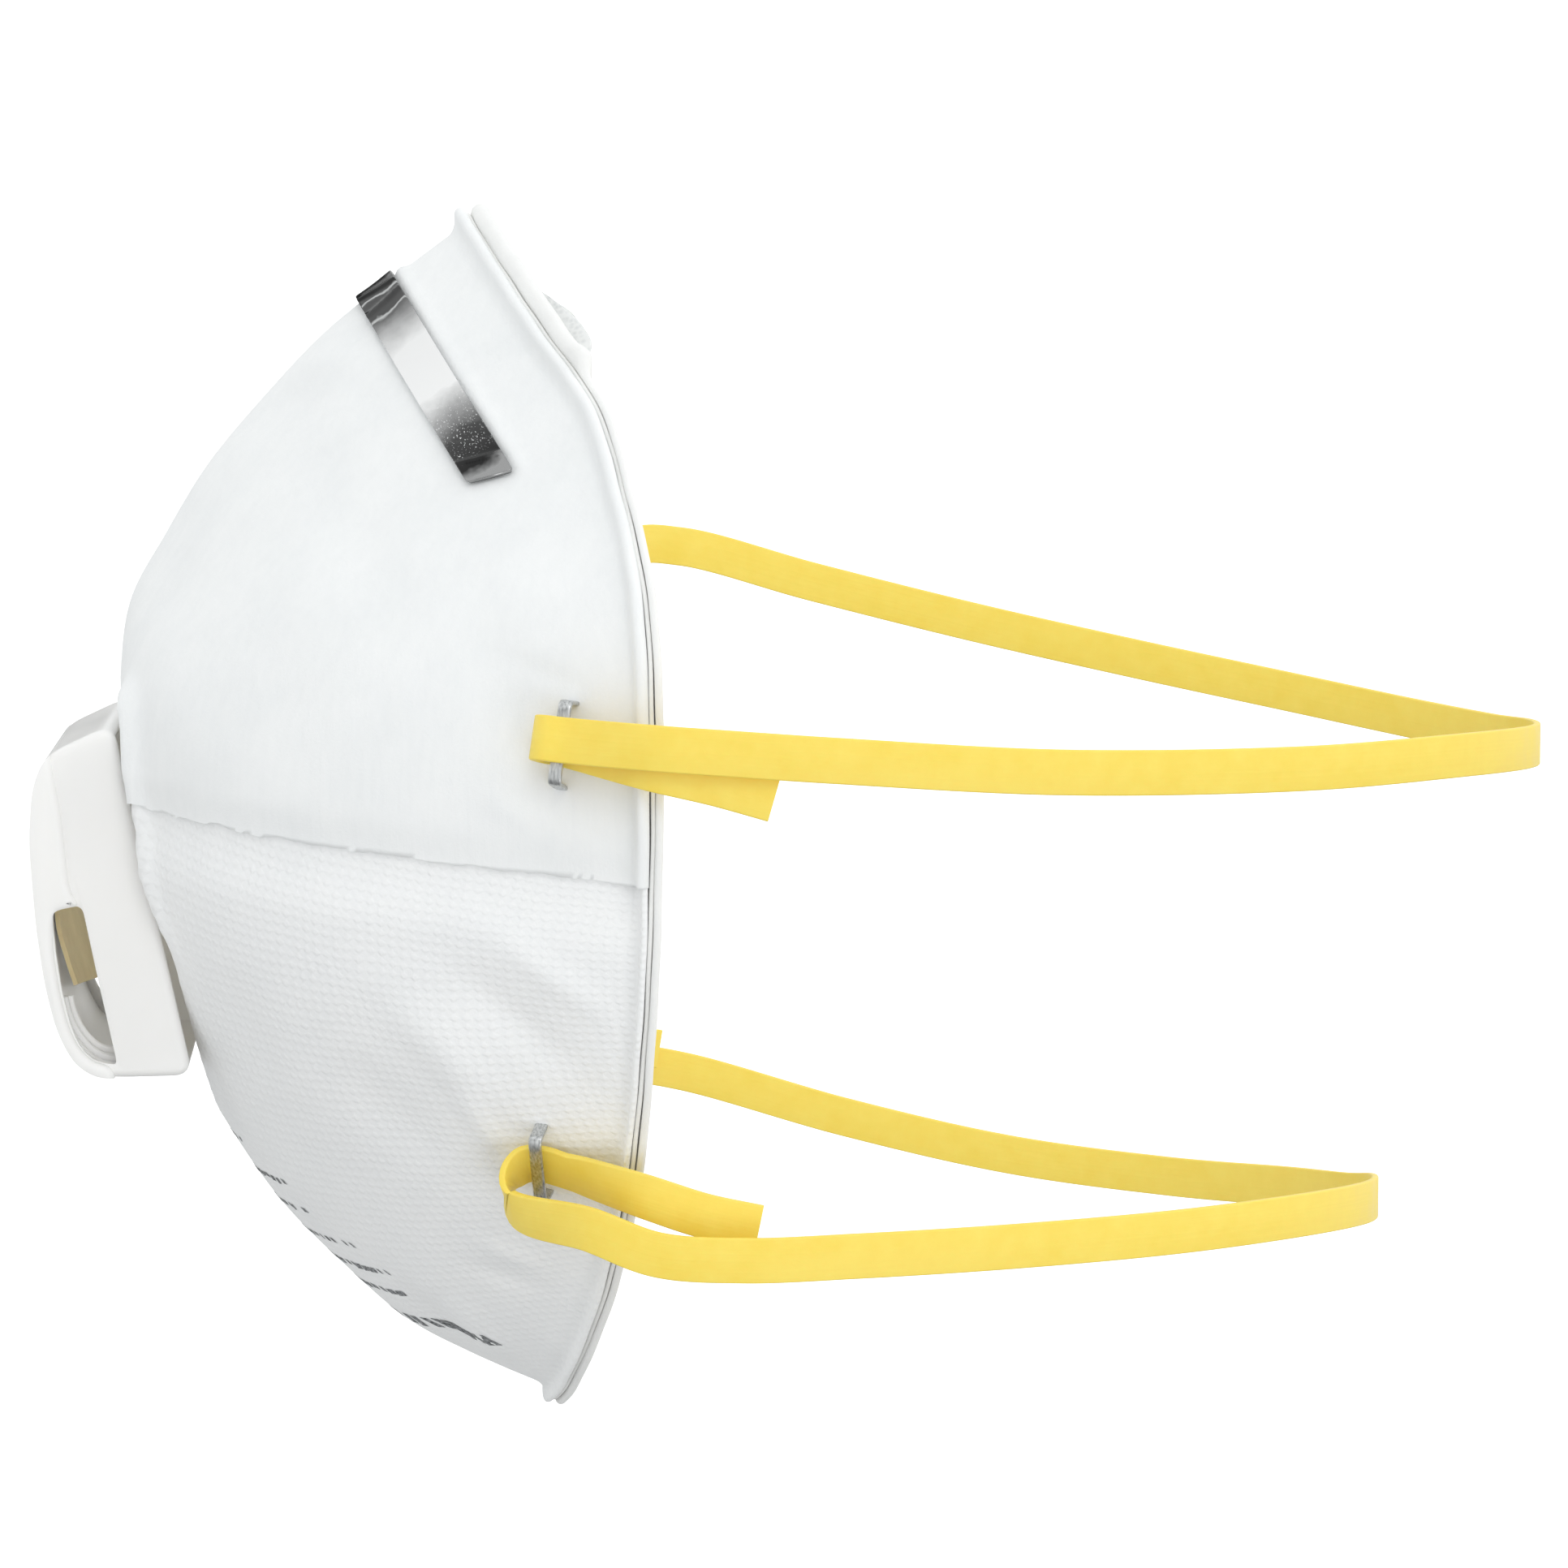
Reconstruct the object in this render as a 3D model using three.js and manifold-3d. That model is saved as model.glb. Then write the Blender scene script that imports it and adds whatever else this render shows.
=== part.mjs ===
import * as THREE from 'three';
import { mergeVertices } from 'three/addons/utils/BufferGeometryUtils.js';
import Module from 'manifold-3d';

// Millimetres. +Z is up, -Y is the front of the mask, +X is the wearer's left.
// The origin is the centre of the face opening, level with the rearmost edge of the rim.

const wasm = await Module();
wasm.setup();

// ---- driving dimensions -------------------------------------------------

const AROUND = 56;                 // divisions around the cup
const APEX_Y = -59.7;              // front of the cup
const APEX_Z = 6;                  // height of the point the cup is spun out from

const WEB = [0, 0.5];              // depth below the outer surface of each layer
const LAP = 0.8;                   // how far the lower web dips to pass under the upper web
const FILTER = [1.6, 2.0];
const SHELL = [2.3, 3.0];
const INNER_WEB = [3.3, 3.6];
const SEAM_Z = 0;
const LAP_WIDTH = 6;

const LIP = 2.4;                   // how far the welded edge stands out
const WEB_LIP = [0.3, 1.0];        // the lips' front and back faces, behind the cup's edge
const SHELL_LIP = [1.6, 2.2];
const INNER_LIP = [2.5, 3.0];

const VALVE_TILT = THREE.MathUtils.degToRad(12);
const VALVE_CENTRE = new THREE.Vector3(0, -54.8, -8);
const COVER_HALF = 18;
const COVER_WALL = 1.2;
const FLANGE_THICK = 1.3;
const GAP = 0.3;

const STRAP_WIDE = 4.8;
const STRAP_THICK = 0.8;

const STAPLE_SPAN = 9.2;
const WIRE_THICK = 0.5;
const WIRE_WIDE = 1.3;
const CROWN_TOP = 2.8;             // height of the crown's outer face above the web

// The cup's edge where it meets the lip, down the left half from nose to chin.
const EDGE_LEFT = [
  [0, -21.3, 65.9], [13, -18.2, 61], [24.5, -13.6, 54], [34, -8, 46], [43.5, -5.2, 36.8],
  [51.5, -3.2, 26], [56.2, -2.8, 12], [56.8, -3, -4], [53.5, -3.6, -19], [46.3, -4.8, -33.5],
  [35.3, -7, -47], [19, -10.4, -60], [0, -12.4, -66.2],
];

// Profiles from the front to the edge: share of the way out, and share of the height left.
const TOP_PROFILE = [
  [0, 1], [0.16, 0.998], [0.3, 0.968], [0.43, 0.86], [0.56, 0.735],
  [0.69, 0.565], [0.81, 0.385], [0.916, 0.175], [1, 0],
];
const SIDE_PROFILE = [
  [0, 1], [0.18, 0.99], [0.36, 0.945], [0.56, 0.82], [0.73, 0.64],
  [0.85, 0.435], [0.93, 0.235], [0.975, 0.09], [1, 0],
];
const CHIN_PROFILE = [
  [0, 1], [0.2, 0.98], [0.4, 0.9], [0.565, 0.765], [0.7, 0.628],
  [0.81, 0.468], [0.893, 0.326], [0.95, 0.17], [1, 0],
];

// ---- helpers --------------------------------------------------------------

const V = (x, y, z) => new THREE.Vector3(x, y, z);

function smooth(low, high, value) {
  const t = THREE.MathUtils.clamp((value - low) / (high - low), 0, 1);
  return t * t * (3 - 2 * t);
}

function meshFrom(points, faces) {
  const geometry = new THREE.BufferGeometry();
  const flat = points.flatMap((p) => [p.x, p.y, p.z]);
  geometry.setAttribute('position', new THREE.Float32BufferAttribute(flat, 3));
  geometry.setIndex(faces);
  return facingOut(geometry);
}

function signedVolume(geometry) {
  const position = geometry.attributes.position;
  const index = geometry.index.array;
  const [a, b, c] = [V(), V(), V()];
  let total = 0;
  for (let i = 0; i < index.length; i += 3) {
    a.fromBufferAttribute(position, index[i]);
    b.fromBufferAttribute(position, index[i + 1]);
    c.fromBufferAttribute(position, index[i + 2]);
    total += a.dot(b.clone().cross(c)) / 6;
  }
  return total;
}

function facingOut(geometry) {
  if (signedVolume(geometry) < 0) {
    const index = geometry.index.array;
    for (let i = 0; i < index.length; i += 3) {
      [index[i + 1], index[i + 2]] = [index[i + 2], index[i + 1]];
    }
  }
  return geometry;
}

function welded(geometry) {
  const copy = geometry.clone();
  copy.deleteAttribute('normal');
  copy.deleteAttribute('uv');
  return facingOut(mergeVertices(copy, 1e-4));
}

function solid(geometry) {
  const merged = welded(geometry);
  return new wasm.Manifold(new wasm.Mesh({
    numProp: 3,
    vertProperties: new Float32Array(merged.attributes.position.array),
    triVerts: new Uint32Array(merged.index.array),
  }));
}

function geometryOf(manifold) {
  const result = manifold.getMesh();
  const geometry = new THREE.BufferGeometry();
  geometry.setAttribute('position', new THREE.Float32BufferAttribute(result.vertProperties, 3));
  geometry.setIndex([...result.triVerts]);
  return geometry;
}

// Closes a ring of points with a fan about its middle.
function addCap(points, faces, first, count, flip) {
  const middle = points.length;
  const ring = points.slice(first, first + count);
  points.push(ring.reduce((sum, p) => sum.add(p), V(0, 0, 0)).divideScalar(count));
  for (let j = 0; j < count; j += 1) {
    const [a, b] = [first + j, first + (j + 1) % count];
    faces.push(...(flip ? [b, a, middle] : [a, b, middle]));
  }
}

// A closed skin over rings of points, capped at both ends.
function loft(sections) {
  const points = [];
  const faces = [];
  const count = sections[0].length;
  sections.forEach((ring) => points.push(...ring));
  for (let i = 0; i + 1 < sections.length; i += 1) {
    for (let j = 0; j < count; j += 1) {
      const [a, b] = [i * count + j, i * count + (j + 1) % count];
      faces.push(a, b, a + count, b, b + count, a + count);
    }
  }
  addCap(points, faces, 0, count, true);
  addCap(points, faces, (sections.length - 1) * count, count, false);
  return meshFrom(points, faces);
}

// ---- the cup's surface ------------------------------------------------------

const leftEdge = EDGE_LEFT.map((p) => V(...p));
const rightEdge = leftEdge.slice(1, -1).reverse().map((p) => V(-p.x, p.y, p.z));
const edgeCurve = new THREE.CatmullRomCurve3([...leftEdge, ...rightEdge], true, 'centripetal');

const valveUp = V(0, -Math.sin(VALVE_TILT), Math.cos(VALVE_TILT));
const valveOut = V(0, -Math.cos(VALVE_TILT), -Math.sin(VALVE_TILT));

function profileAt(profile, s) {
  const curve = new THREE.CatmullRomCurve3(profile.map(([r, h]) => V(r, h, 0)));
  return curve.getPoint(s);
}

const profileCache = new Map();
function profiles(s) {
  if (!profileCache.has(s)) {
    profileCache.set(s, [TOP_PROFILE, SIDE_PROFILE, CHIN_PROFILE].map((p) => profileAt(p, s)));
  }
  return profileCache.get(s);
}

// How much of the valve's flat is pressed into the cup at a point: 1 under the valve, 0 well away.
function flatShare(point) {
  const along = point.clone().sub(VALVE_CENTRE).dot(valveUp) + 1.5;
  const reach = ((point.x / 20.5) ** 4 + (along / 26) ** 4) ** 0.25;
  return 1 - smooth(1, 1.75, reach);
}

function domePoint(turn, s) {
  const edge = edgeCurve.getPoint(((turn % 1) + 1) % 1);
  const reach = Math.hypot(edge.x, edge.z - APEX_Z);
  const up = (edge.z - APEX_Z) / reach;
  const [top, side, chin] = profiles(s);
  const steep = up * up;
  const upright = up > 0 ? top : chin;
  const r = upright.x * steep + side.x * (1 - steep);
  const h = upright.y * steep + side.y * (1 - steep);
  return V(edge.x * r, edge.y + (APEX_Y - edge.y) * h, APEX_Z + (edge.z - APEX_Z) * r);
}

// The cup's outer surface, with the valve's flat pressed into the dome.
function outerPoint(turn, s) {
  const point = domePoint(turn, s);
  const height = point.clone().sub(VALVE_CENTRE).dot(valveOut);
  return point.addScaledVector(valveOut, Math.min(0, -GAP - height) * flatShare(point));
}

function cupNormal(turn, s) {
  const step = 0.012;
  const inner = THREE.MathUtils.clamp(s, 0.04, 1 - step);
  const around = outerPoint(turn + step, inner).sub(outerPoint(turn - step, inner));
  const outward = outerPoint(turn, inner + step).sub(outerPoint(turn, inner - step));
  return around.cross(outward).normalize();
}

// A point at a given depth below the cup's outer surface.
function cupPoint(turn, s, depth = 0) {
  return outerPoint(turn, s).addScaledVector(cupNormal(turn, s), -depth);
}

const STATIONS = [0.1, 0.24, 0.38, 0.5, 0.6, 0.7, 0.79, 0.87, 0.94, 1];

function edgeOutward(turn) {
  const ahead = edgeCurve.getPoint((turn + 0.005) % 1).sub(edgeCurve.getPoint((turn + 0.995) % 1));
  const out = V(-ahead.z, 0, ahead.x).normalize();
  const edge = edgeCurve.getPoint(turn);
  return out.dot(V(edge.x, 0, edge.z - APEX_Z)) < 0 ? out.negate() : out;
}

// One moulded layer: its outer face, the welded lip and its inner face, as one closed skin.
function layer(depthOf, thickness, lip, lipReach) {
  const points = [];
  const faces = [];
  const rings = [];
  const ring = (make) => {
    rings.push(points.length);
    for (let i = 0; i < AROUND; i += 1) {
      points.push(make(i / AROUND));
    }
  };
  const face = (s, extra) => ring((turn) => {
    const depth = depthOf(cupPoint(turn, s)) + extra;
    return cupPoint(turn, s, depth);
  });
  const lipRing = (back) => ring((turn) => edgeCurve.getPoint(turn)
    .addScaledVector(edgeOutward(turn), lipReach).add(V(0, back, 0)));
  const rootRing = (extra, back) => ring((turn) => {
    const edge = edgeCurve.getPoint(turn);
    return cupPoint(turn, 1, depthOf(edge) + extra).setY(edge.y + back);
  });
  STATIONS.forEach((s) => face(s, 0));
  if (lipReach > 0) {
    rootRing(0, lip[0]);
    lipRing(lip[0]);
    lipRing(lip[1]);
    rootRing(thickness, lip[1]);
  }
  [...STATIONS].reverse().forEach((s) => face(s, thickness));
  for (let i = 0; i + 1 < rings.length; i += 1) {
    for (let j = 0; j < AROUND; j += 1) {
      const k = (j + 1) % AROUND;
      const [a, b, c, d] = [rings[i] + j, rings[i] + k, rings[i + 1] + j, rings[i + 1] + k];
      faces.push(a, b, c, b, d, c);
    }
  }
  addCap(points, faces, rings[0], AROUND, true);
  addCap(points, faces, rings.at(-1), AROUND, false);
  return meshFrom(points, faces);
}

// ---- placing things on the valve's flat -------------------------------------

const valveFrame = new THREE.Matrix4().makeBasis(V(-1, 0, 0), valveUp, valveOut).setPosition(VALVE_CENTRE);

// A plan outline on the flat, raised from one height to another.
function plate(outline, low, high) {
  const shape = new THREE.Shape(outline);
  const geometry = new THREE.ExtrudeGeometry(shape, { depth: high - low, bevelEnabled: false });
  return geometry.translate(0, 0, low).applyMatrix4(valveFrame);
}

// A side outline in the valve's height and reach, run across its width.
function sideways(outline, from, to) {
  const shape = new THREE.Shape(outline.map(([up, out]) => new THREE.Vector2(up, out)));
  const geometry = new THREE.ExtrudeGeometry(shape, { depth: to - from, bevelEnabled: false });
  const turn = new THREE.Matrix4().makeBasis(V(0, 1, 0), V(0, 0, 1), V(1, 0, 0)).setPosition(V(from, 0, 0));
  return geometry.applyMatrix4(turn).applyMatrix4(valveFrame);
}

function roundedBox(halfWide, low, high, radius, steps = 5) {
  const corners = [
    [halfWide - radius, high - radius, 0], [-halfWide + radius, high - radius, 90],
    [-halfWide + radius, low + radius, 180], [halfWide - radius, low + radius, 270],
  ];
  return corners.flatMap(([x, y, start]) => Array.from({ length: steps }, (_, i) => {
    const angle = THREE.MathUtils.degToRad(start + (90 * i) / (steps - 1));
    return new THREE.Vector2(x + radius * Math.cos(angle), y + radius * Math.sin(angle));
  }));
}

function flangeOutline(grow = 0) {
  const top = roundedBox(18.6 + grow, -12, 21.8 + grow, 4 + grow).slice(0, 10);
  const tongue = Array.from({ length: 13 }, (_, i) => {
    const angle = Math.PI * (1 + i / 12);
    return new THREE.Vector2((18.6 + grow) * Math.cos(angle), -10 + (14.6 + grow) * Math.sin(angle));
  });
  return [...top, ...tongue];
}

// ---- valve --------------------------------------------------------------------

const COVER_SIDE = [
  [-20, 1.6], [20.8, 1.6], [18.4, 8], [14, 10], [7.5, 12.2], [0.3, 13.6], [-6, 14.2], [-11.5, 14.1],
  [-15.5, 13.1], [-17.6, 11.2], [-18.4, 8.8],
];
const COVER_ROOM = [
  [-18.8, 1], [19.6, 1], [17.3, 7.2], [13.5, 8.9], [7.2, 11], [0.2, 12.3], [-6, 12.9], [-11, 12.8],
  [-14.7, 11.9], [-16.4, 10.4], [-17.2, 8.4],
];
const WINDOW = [
  [1.2, 8.1], [1.6, 11.2], [-5, 12.4], [-11, 12.4], [-14.6, 11.5], [-16.3, 10], [-16.9, 8.3],
];
const HINGE = [13.6, 6.6];         // the flap's clamped edge
const FLAP_HALF = 13;
const FLAP_LINE = [[13.6, 6.6], [10, 8.4], [5, 10.3], [0, 11.3], [-4.5, 11.5], [-9, 11.0]];
const SEAT_SWING = THREE.MathUtils.degToRad(22);
const SEAT_WALL = 1.3;             // wall of the seat that the closed flap rests on

// A closed band of even thickness along a side line.
function bandOutline(line, half) {
  const curve = new THREE.CatmullRomCurve3(line.map(([u, w]) => V(u, w, 0)));
  const samples = Array.from({ length: 9 }, (_, i) => i / 8);
  const side = (sign) => samples.map((t) => {
    const point = curve.getPoint(t);
    const ahead = curve.getTangent(t);
    return [point.x - ahead.y * half * sign, point.y + ahead.x * half * sign];
  });
  return [...side(1), ...side(-1).reverse()];
}

// Where a point of the flap's side line goes when the flap swings shut.
function swungIn([up, out], angle) {
  const [rise, reach] = [up - HINGE[0], out - HINGE[1]];
  return [
    HINGE[0] + rise * Math.cos(angle) - reach * Math.sin(angle),
    HINGE[1] + reach * Math.cos(angle) + rise * Math.sin(angle),
  ];
}

function valveCover() {
  let body = solid(sideways(COVER_SIDE, -COVER_HALF, COVER_HALF));
  body = body.subtract(solid(sideways(COVER_ROOM, -COVER_HALF + COVER_WALL, COVER_HALF - COVER_WALL)));
  body = body.subtract(solid(sideways(WINDOW, -COVER_HALF - 2, COVER_HALF + 2)));
  return geometryOf(body);
}

function valveBase() {
  const seatLine = FLAP_LINE.map((p) => swungIn(p, SEAT_SWING)).map(([u, w]) => [u, w - 0.6]);
  const low = seatLine.at(-1);
  const [top, foot] = [HINGE[0] - SEAT_WALL, low[0] - SEAT_WALL];
  const side = [[top, seatLine[0][1] - 0.6], ...seatLine.slice(1), [foot, low[1]], [foot, 0.6], [top, 0.6]];
  let body = solid(plate(flangeOutline(), 0, FLANGE_THICK));
  body = body.add(solid(plate(roundedBox(11.2, -11.2, 11.2, 5), -3.2, 0.5)));
  body = body.add(solid(sideways(side, -12.2, 12.2)));
  body = body.subtract(solid(plate(roundedBox(9.8, -9.8, 9.8, 4), -5, 14)));
  return geometryOf(body);
}

function valveFlap() {
  return welded(sideways(bandOutline(FLAP_LINE, 0.25), -FLAP_HALF, FLAP_HALF));
}

// ---- nose clip and foam ----------------------------------------------------------

const CLIP_NORMAL = V(0, 0.846, 0.533);
const CLIP_LEVEL = V(0, -30.2, 59.2).dot(CLIP_NORMAL);
const CLIP_TURN = 0.142;           // how far round the edge the clip reaches, each way
const CLIP_HALF = 2.5;
const CLIP_FACES = [0.35, 1.15];   // its two faces, above the web
const FOAM_TURN = 0.15;
const FOAM_DEPTH = 3.95;           // the foam's glued face, below the cup's outer surface

function onLevel(turn, level) {
  let [low, high] = [0.3, 1];
  for (let i = 0; i < 24; i += 1) {
    const middle = (low + high) / 2;
    if (cupPoint(turn, middle).dot(CLIP_NORMAL) < level) {
      low = middle;
    } else {
      high = middle;
    }
  }
  return (low + high) / 2;
}

function noseClip() {
  const sections = [];
  for (let i = 0; i <= 20; i += 1) {
    const turn = CLIP_TURN * (i / 10 - 1);
    const [front, back] = [-CLIP_HALF, CLIP_HALF].map((shift) => onLevel(turn, CLIP_LEVEL + shift));
    const [under, top] = CLIP_FACES;
    const ring = [[front, under], [back, under], [back, top], [front, top]];
    sections.push(ring.map(([s, height]) => cupPoint(turn, s, -height)));
  }
  return loft(sections);
}

function noseFoam() {
  const sections = [];
  for (let i = 0; i <= 20; i += 1) {
    const share = i / 10 - 1;
    const inside = FOAM_DEPTH + 4.5 * (1 - 0.5 * Math.abs(share) ** 6);
    const ring = [
      [0.84, FOAM_DEPTH], [0.92, FOAM_DEPTH], [0.995, FOAM_DEPTH],
      [0.995, inside], [0.92, inside], [0.84, inside],
    ];
    sections.push(ring.map(([s, depth]) => cupPoint(FOAM_TURN * share, s, depth)));
  }
  return loft(sections);
}

// ---- staples -------------------------------------------------------------------

const UPPER_STAPLE = { y: -10.6, z: 12.3 };
const LOWER_STAPLE = { y: -12.7, z: -33 };

// The point of the cup's left side at a given depth and height.
function sideSpot({ y, z }) {
  let best = null;
  for (let turn = 0.1; turn < 0.45; turn += 0.0025) {
    for (let s = 0.7; s <= 1; s += 0.0125) {
      const point = cupPoint(turn, s);
      const miss = Math.hypot(point.y - y, point.z - z);
      if (!best || miss < best.miss) {
        best = { miss, point, normal: cupNormal(turn, s) };
      }
    }
  }
  return best;
}

function stapleFrame(spot, side) {
  const out = V(spot.normal.x * side, spot.normal.y, spot.normal.z);
  const along = V(0, 0.1, 1).addScaledVector(out, -V(0, 0.1, 1).dot(out)).normalize();
  const across = along.clone().cross(out);
  const origin = V(spot.point.x * side, spot.point.y, spot.point.z);
  return new THREE.Matrix4().makeBasis(along, out, across).setPosition(origin);
}

function staple(frame) {
  const [end, low, inside] = [STAPLE_SPAN / 2, -4.5, STAPLE_SPAN / 2 - WIRE_THICK];
  const fold = 1.8;
  const outline = [
    [-end, CROWN_TOP], [end, CROWN_TOP], [end, low], [fold, low],
    [fold, low + WIRE_THICK], [inside, low + WIRE_THICK],
    [inside, CROWN_TOP - WIRE_THICK], [-inside, CROWN_TOP - WIRE_THICK], [-inside, low + WIRE_THICK],
    [-fold, low + WIRE_THICK], [-fold, low], [-end, low],
  ];
  const shape = new THREE.Shape(outline.map(([x, y]) => new THREE.Vector2(x, y)));
  const geometry = new THREE.ExtrudeGeometry(shape, { depth: WIRE_WIDE, bevelEnabled: false });
  return welded(geometry.translate(0, 0, -WIRE_WIDE / 2).applyMatrix4(frame));
}

function legHoles(frame) {
  const room = 2 * GAP;
  return [-1, 1].map((end) => {
    const hole = new THREE.BoxGeometry(WIRE_THICK + room, 8, WIRE_WIDE + room);
    return solid(hole.translate(end * (STAPLE_SPAN - WIRE_THICK) / 2, -2, 0).applyMatrix4(frame));
  });
}

const upperSpot = sideSpot(UPPER_STAPLE);
const lowerSpot = sideSpot(LOWER_STAPLE);
const stapleFrames = {
  staple_upper_left: stapleFrame(upperSpot, 1),
  staple_upper_right: stapleFrame(upperSpot, -1),
  staple_lower_left: stapleFrame(lowerSpot, 1),
  staple_lower_right: stapleFrame(lowerSpot, -1),
};

// ---- straps ---------------------------------------------------------------------

// A flat band swept along a path. Each stop may name the way its width lies; upright if it doesn't.
function strap(path, divisions) {
  const curve = new THREE.CatmullRomCurve3(path.map(({ at }) => at), false, 'centripetal');
  const sections = [];
  for (let i = 0; i <= divisions; i += 1) {
    const u = i / divisions;
    const place = curve.getUtoTmapping(u) * (path.length - 1);
    const before = Math.min(Math.floor(place), path.length - 2);
    const lean = path[before].wide.clone().lerp(path[before + 1].wide, place - before);
    const ahead = curve.getTangentAt(u);
    const flat = ahead.clone().cross(lean).normalize();
    const wide = flat.clone().cross(ahead).normalize();
    const point = curve.getPointAt(u);
    const corner = (a, b) => point.clone()
      .addScaledVector(flat, (a * STRAP_THICK) / 2).addScaledVector(wide, (b * STRAP_WIDE) / 2);
    sections.push([corner(-1, -1), corner(1, -1), corner(1, 1), corner(-1, 1)]);
  }
  return loft(sections);
}

const free = (x, y, z, lean = [0, 0, 1]) => ({ at: V(x, y, z), wide: V(...lean) });

// A stop on a strap given from its staple: how far out, how far back and how far up the cup's side.
function near(name, out, back, up) {
  const [along, away, across] = [V(), V(), V()];
  stapleFrames[name].extractBasis(along, away, across);
  const backward = across.y > 0 ? across : across.negate();
  const origin = V().setFromMatrixPosition(stapleFrames[name]);
  const at = origin.addScaledVector(away, out).addScaledVector(backward, back).addScaledVector(along, up);
  return { at, wide: along };
}

const TAIL_OUT = 1.2;              // the tail lies between the web and the crown
const OVER_OUT = CROWN_TOP + 0.75; // the strap comes back over the crown

// Stops under and over a crown, from the tail's side to the loop's side.
const tucked = (name, ...stops) => stops.map((stop) => near(name, ...stop));

const UPPER_PATH = [
  free(61.7, 11, 7.6), free(61.5, 5, 9.3), free(61, -1.9, 10.9),
  ...tucked('staple_upper_left', [1.5, 3.5, -0.5], [TAIL_OUT, 0, 0], [1.4, -1.8, 0.1], [2.5, -2.7, 0.2],
    [OVER_OUT + 0.1, -1.6, 0.2], [OVER_OUT + 0.1, 0.6, 0.2]),
  free(62.8, -1.5, 13.1), free(63, 6.4, 12.5), free(62.4, 18, 11.6), free(58.5, 41, 9.9),
  free(48.7, 67.7, 9.1), free(33.4, 87.9, 8.9), free(16.2, 99, 8.1), free(0, 102, 7.3),
  free(-13, 100.2, 6.7), free(-27.2, 93, 7.3), free(-39.7, 81.1, 9.2), free(-51.3, 62.6, 12.6),
  free(-58.5, 43.1, 16.7), free(-62.2, 23.1, 21.6), free(-63, 6.8, 26), free(-62.9, 0.5, 25.9),
  ...tucked('staple_upper_right', [OVER_OUT + 0.4, 4.8, 6.5], [OVER_OUT + 0.1, 0.4, 1], [OVER_OUT, -2, 0],
    [2.4, -3.2, -0.2], [1.4, -2.3, -0.2], [TAIL_OUT, 0, 0], [1.5, 3.5, 0]),
  free(-61, -1.9, 11.4), free(-61.3, 3.5, 10.9),
];

const LOWER_PATH = [
  free(56, 9.8, -38.4), free(55.4, 4, -37.2), free(53.6, -2.2, -35.4),
  ...tucked('staple_lower_left', [1.4, 3.2, -0.4], [TAIL_OUT, 0, 0], [1.5, -2, -0.3], [3.2, -3.1, -1.2],
    [5.2, -2.4, -2.9]),
  free(55.3, -8, -38.6), free(58.2, -1, -40.8), free(59.3, 8, -41.3), free(58, 20, -41.2),
  free(54.3, 36.1, -41.1), free(46.1, 54.5, -41.3), free(34.2, 69.5, -41.9), free(18, 80.3, -43.4),
  free(0, 84.2, -45.6), free(-10.3, 83, -47.3), free(-22.7, 78.1, -48.7), free(-38.1, 65.4, -50),
  free(-50.2, 46.6, -49.1), free(-56.8, 26.8, -45.3), free(-59.2, 6.6, -39.7), free(-57.6, -2, -38.2),
  ...tucked('staple_lower_right', [5.2, -2.4, -2.6], [3.2, -3.1, -1.2], [1.5, -2, -0.3], [TAIL_OUT, 0, 0],
    [1.4, 3.2, -0.4]),
  free(-53.6, -2.2, -35.2), free(-54.9, 3.5, -36.2),
];

// ---- assembly ---------------------------------------------------------------------

const seatRoom = solid(plate(flangeOutline(0.4), -GAP / 2, 24));
const collarHole = solid(plate(roundedBox(11.5, -11.5, 11.5, 5.3), -16, 6));
const holes = Object.values(stapleFrames).flatMap(legHoles);

function pierced(geometry, extra = []) {
  return [collarHole, ...holes, ...extra].reduce((body, cutter) => body.subtract(cutter), solid(geometry));
}

// Trimming can leave loose crumbs; only the main body is the piece.
function mainBody(manifold) {
  return manifold.decompose().reduce((best, body) => (body.volume() > best.volume() ? body : best));
}

// A closed ring swept around the cup's edge.
function edgeRing(reachLow, reachHigh, back, front) {
  const points = [];
  const faces = [];
  for (let i = 0; i < AROUND; i += 1) {
    const edge = edgeCurve.getPoint(i / AROUND);
    const out = edgeOutward(i / AROUND);
    for (const [reach, y] of [[reachLow, back], [reachHigh, back], [reachHigh, front], [reachLow, front]]) {
      points.push(edge.clone().addScaledVector(out, reach).add(V(0, y, 0)));
    }
    const [here, next] = [i * 4, ((i + 1) % AROUND) * 4];
    for (let j = 0; j < 4; j += 1) {
      const k = (j + 1) % 4;
      faces.push(here + j, here + k, next + j, next + j, here + k, next + k);
    }
  }
  return solid(meshFrom(points, faces));
}

function halfSpace(low, high) {
  const box = new THREE.BoxGeometry(300, 300, high - low);
  return solid(box.translate(0, 0, (low + high) / 2));
}

const lapDepth = (point) => LAP * smooth(-13, -4, point.z);
const even = (depth) => () => depth;

const webThick = WEB[1] - WEB[0];
const upperLips = edgeRing(-0.75, 6, 3, -0.5).intersect(halfSpace(SEAM_Z - GAP, 200));
const upperWeb = mainBody(pierced(layer(even(WEB[0]), webThick, WEB_LIP, LIP), [seatRoom])
  .intersect(halfSpace(SEAM_Z, 200)));
const lowerWeb = mainBody(pierced(layer(lapDepth, webThick, WEB_LIP, LIP), [seatRoom, upperLips])
  .intersect(halfSpace(-200, SEAM_Z + LAP_WIDTH)));

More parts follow.
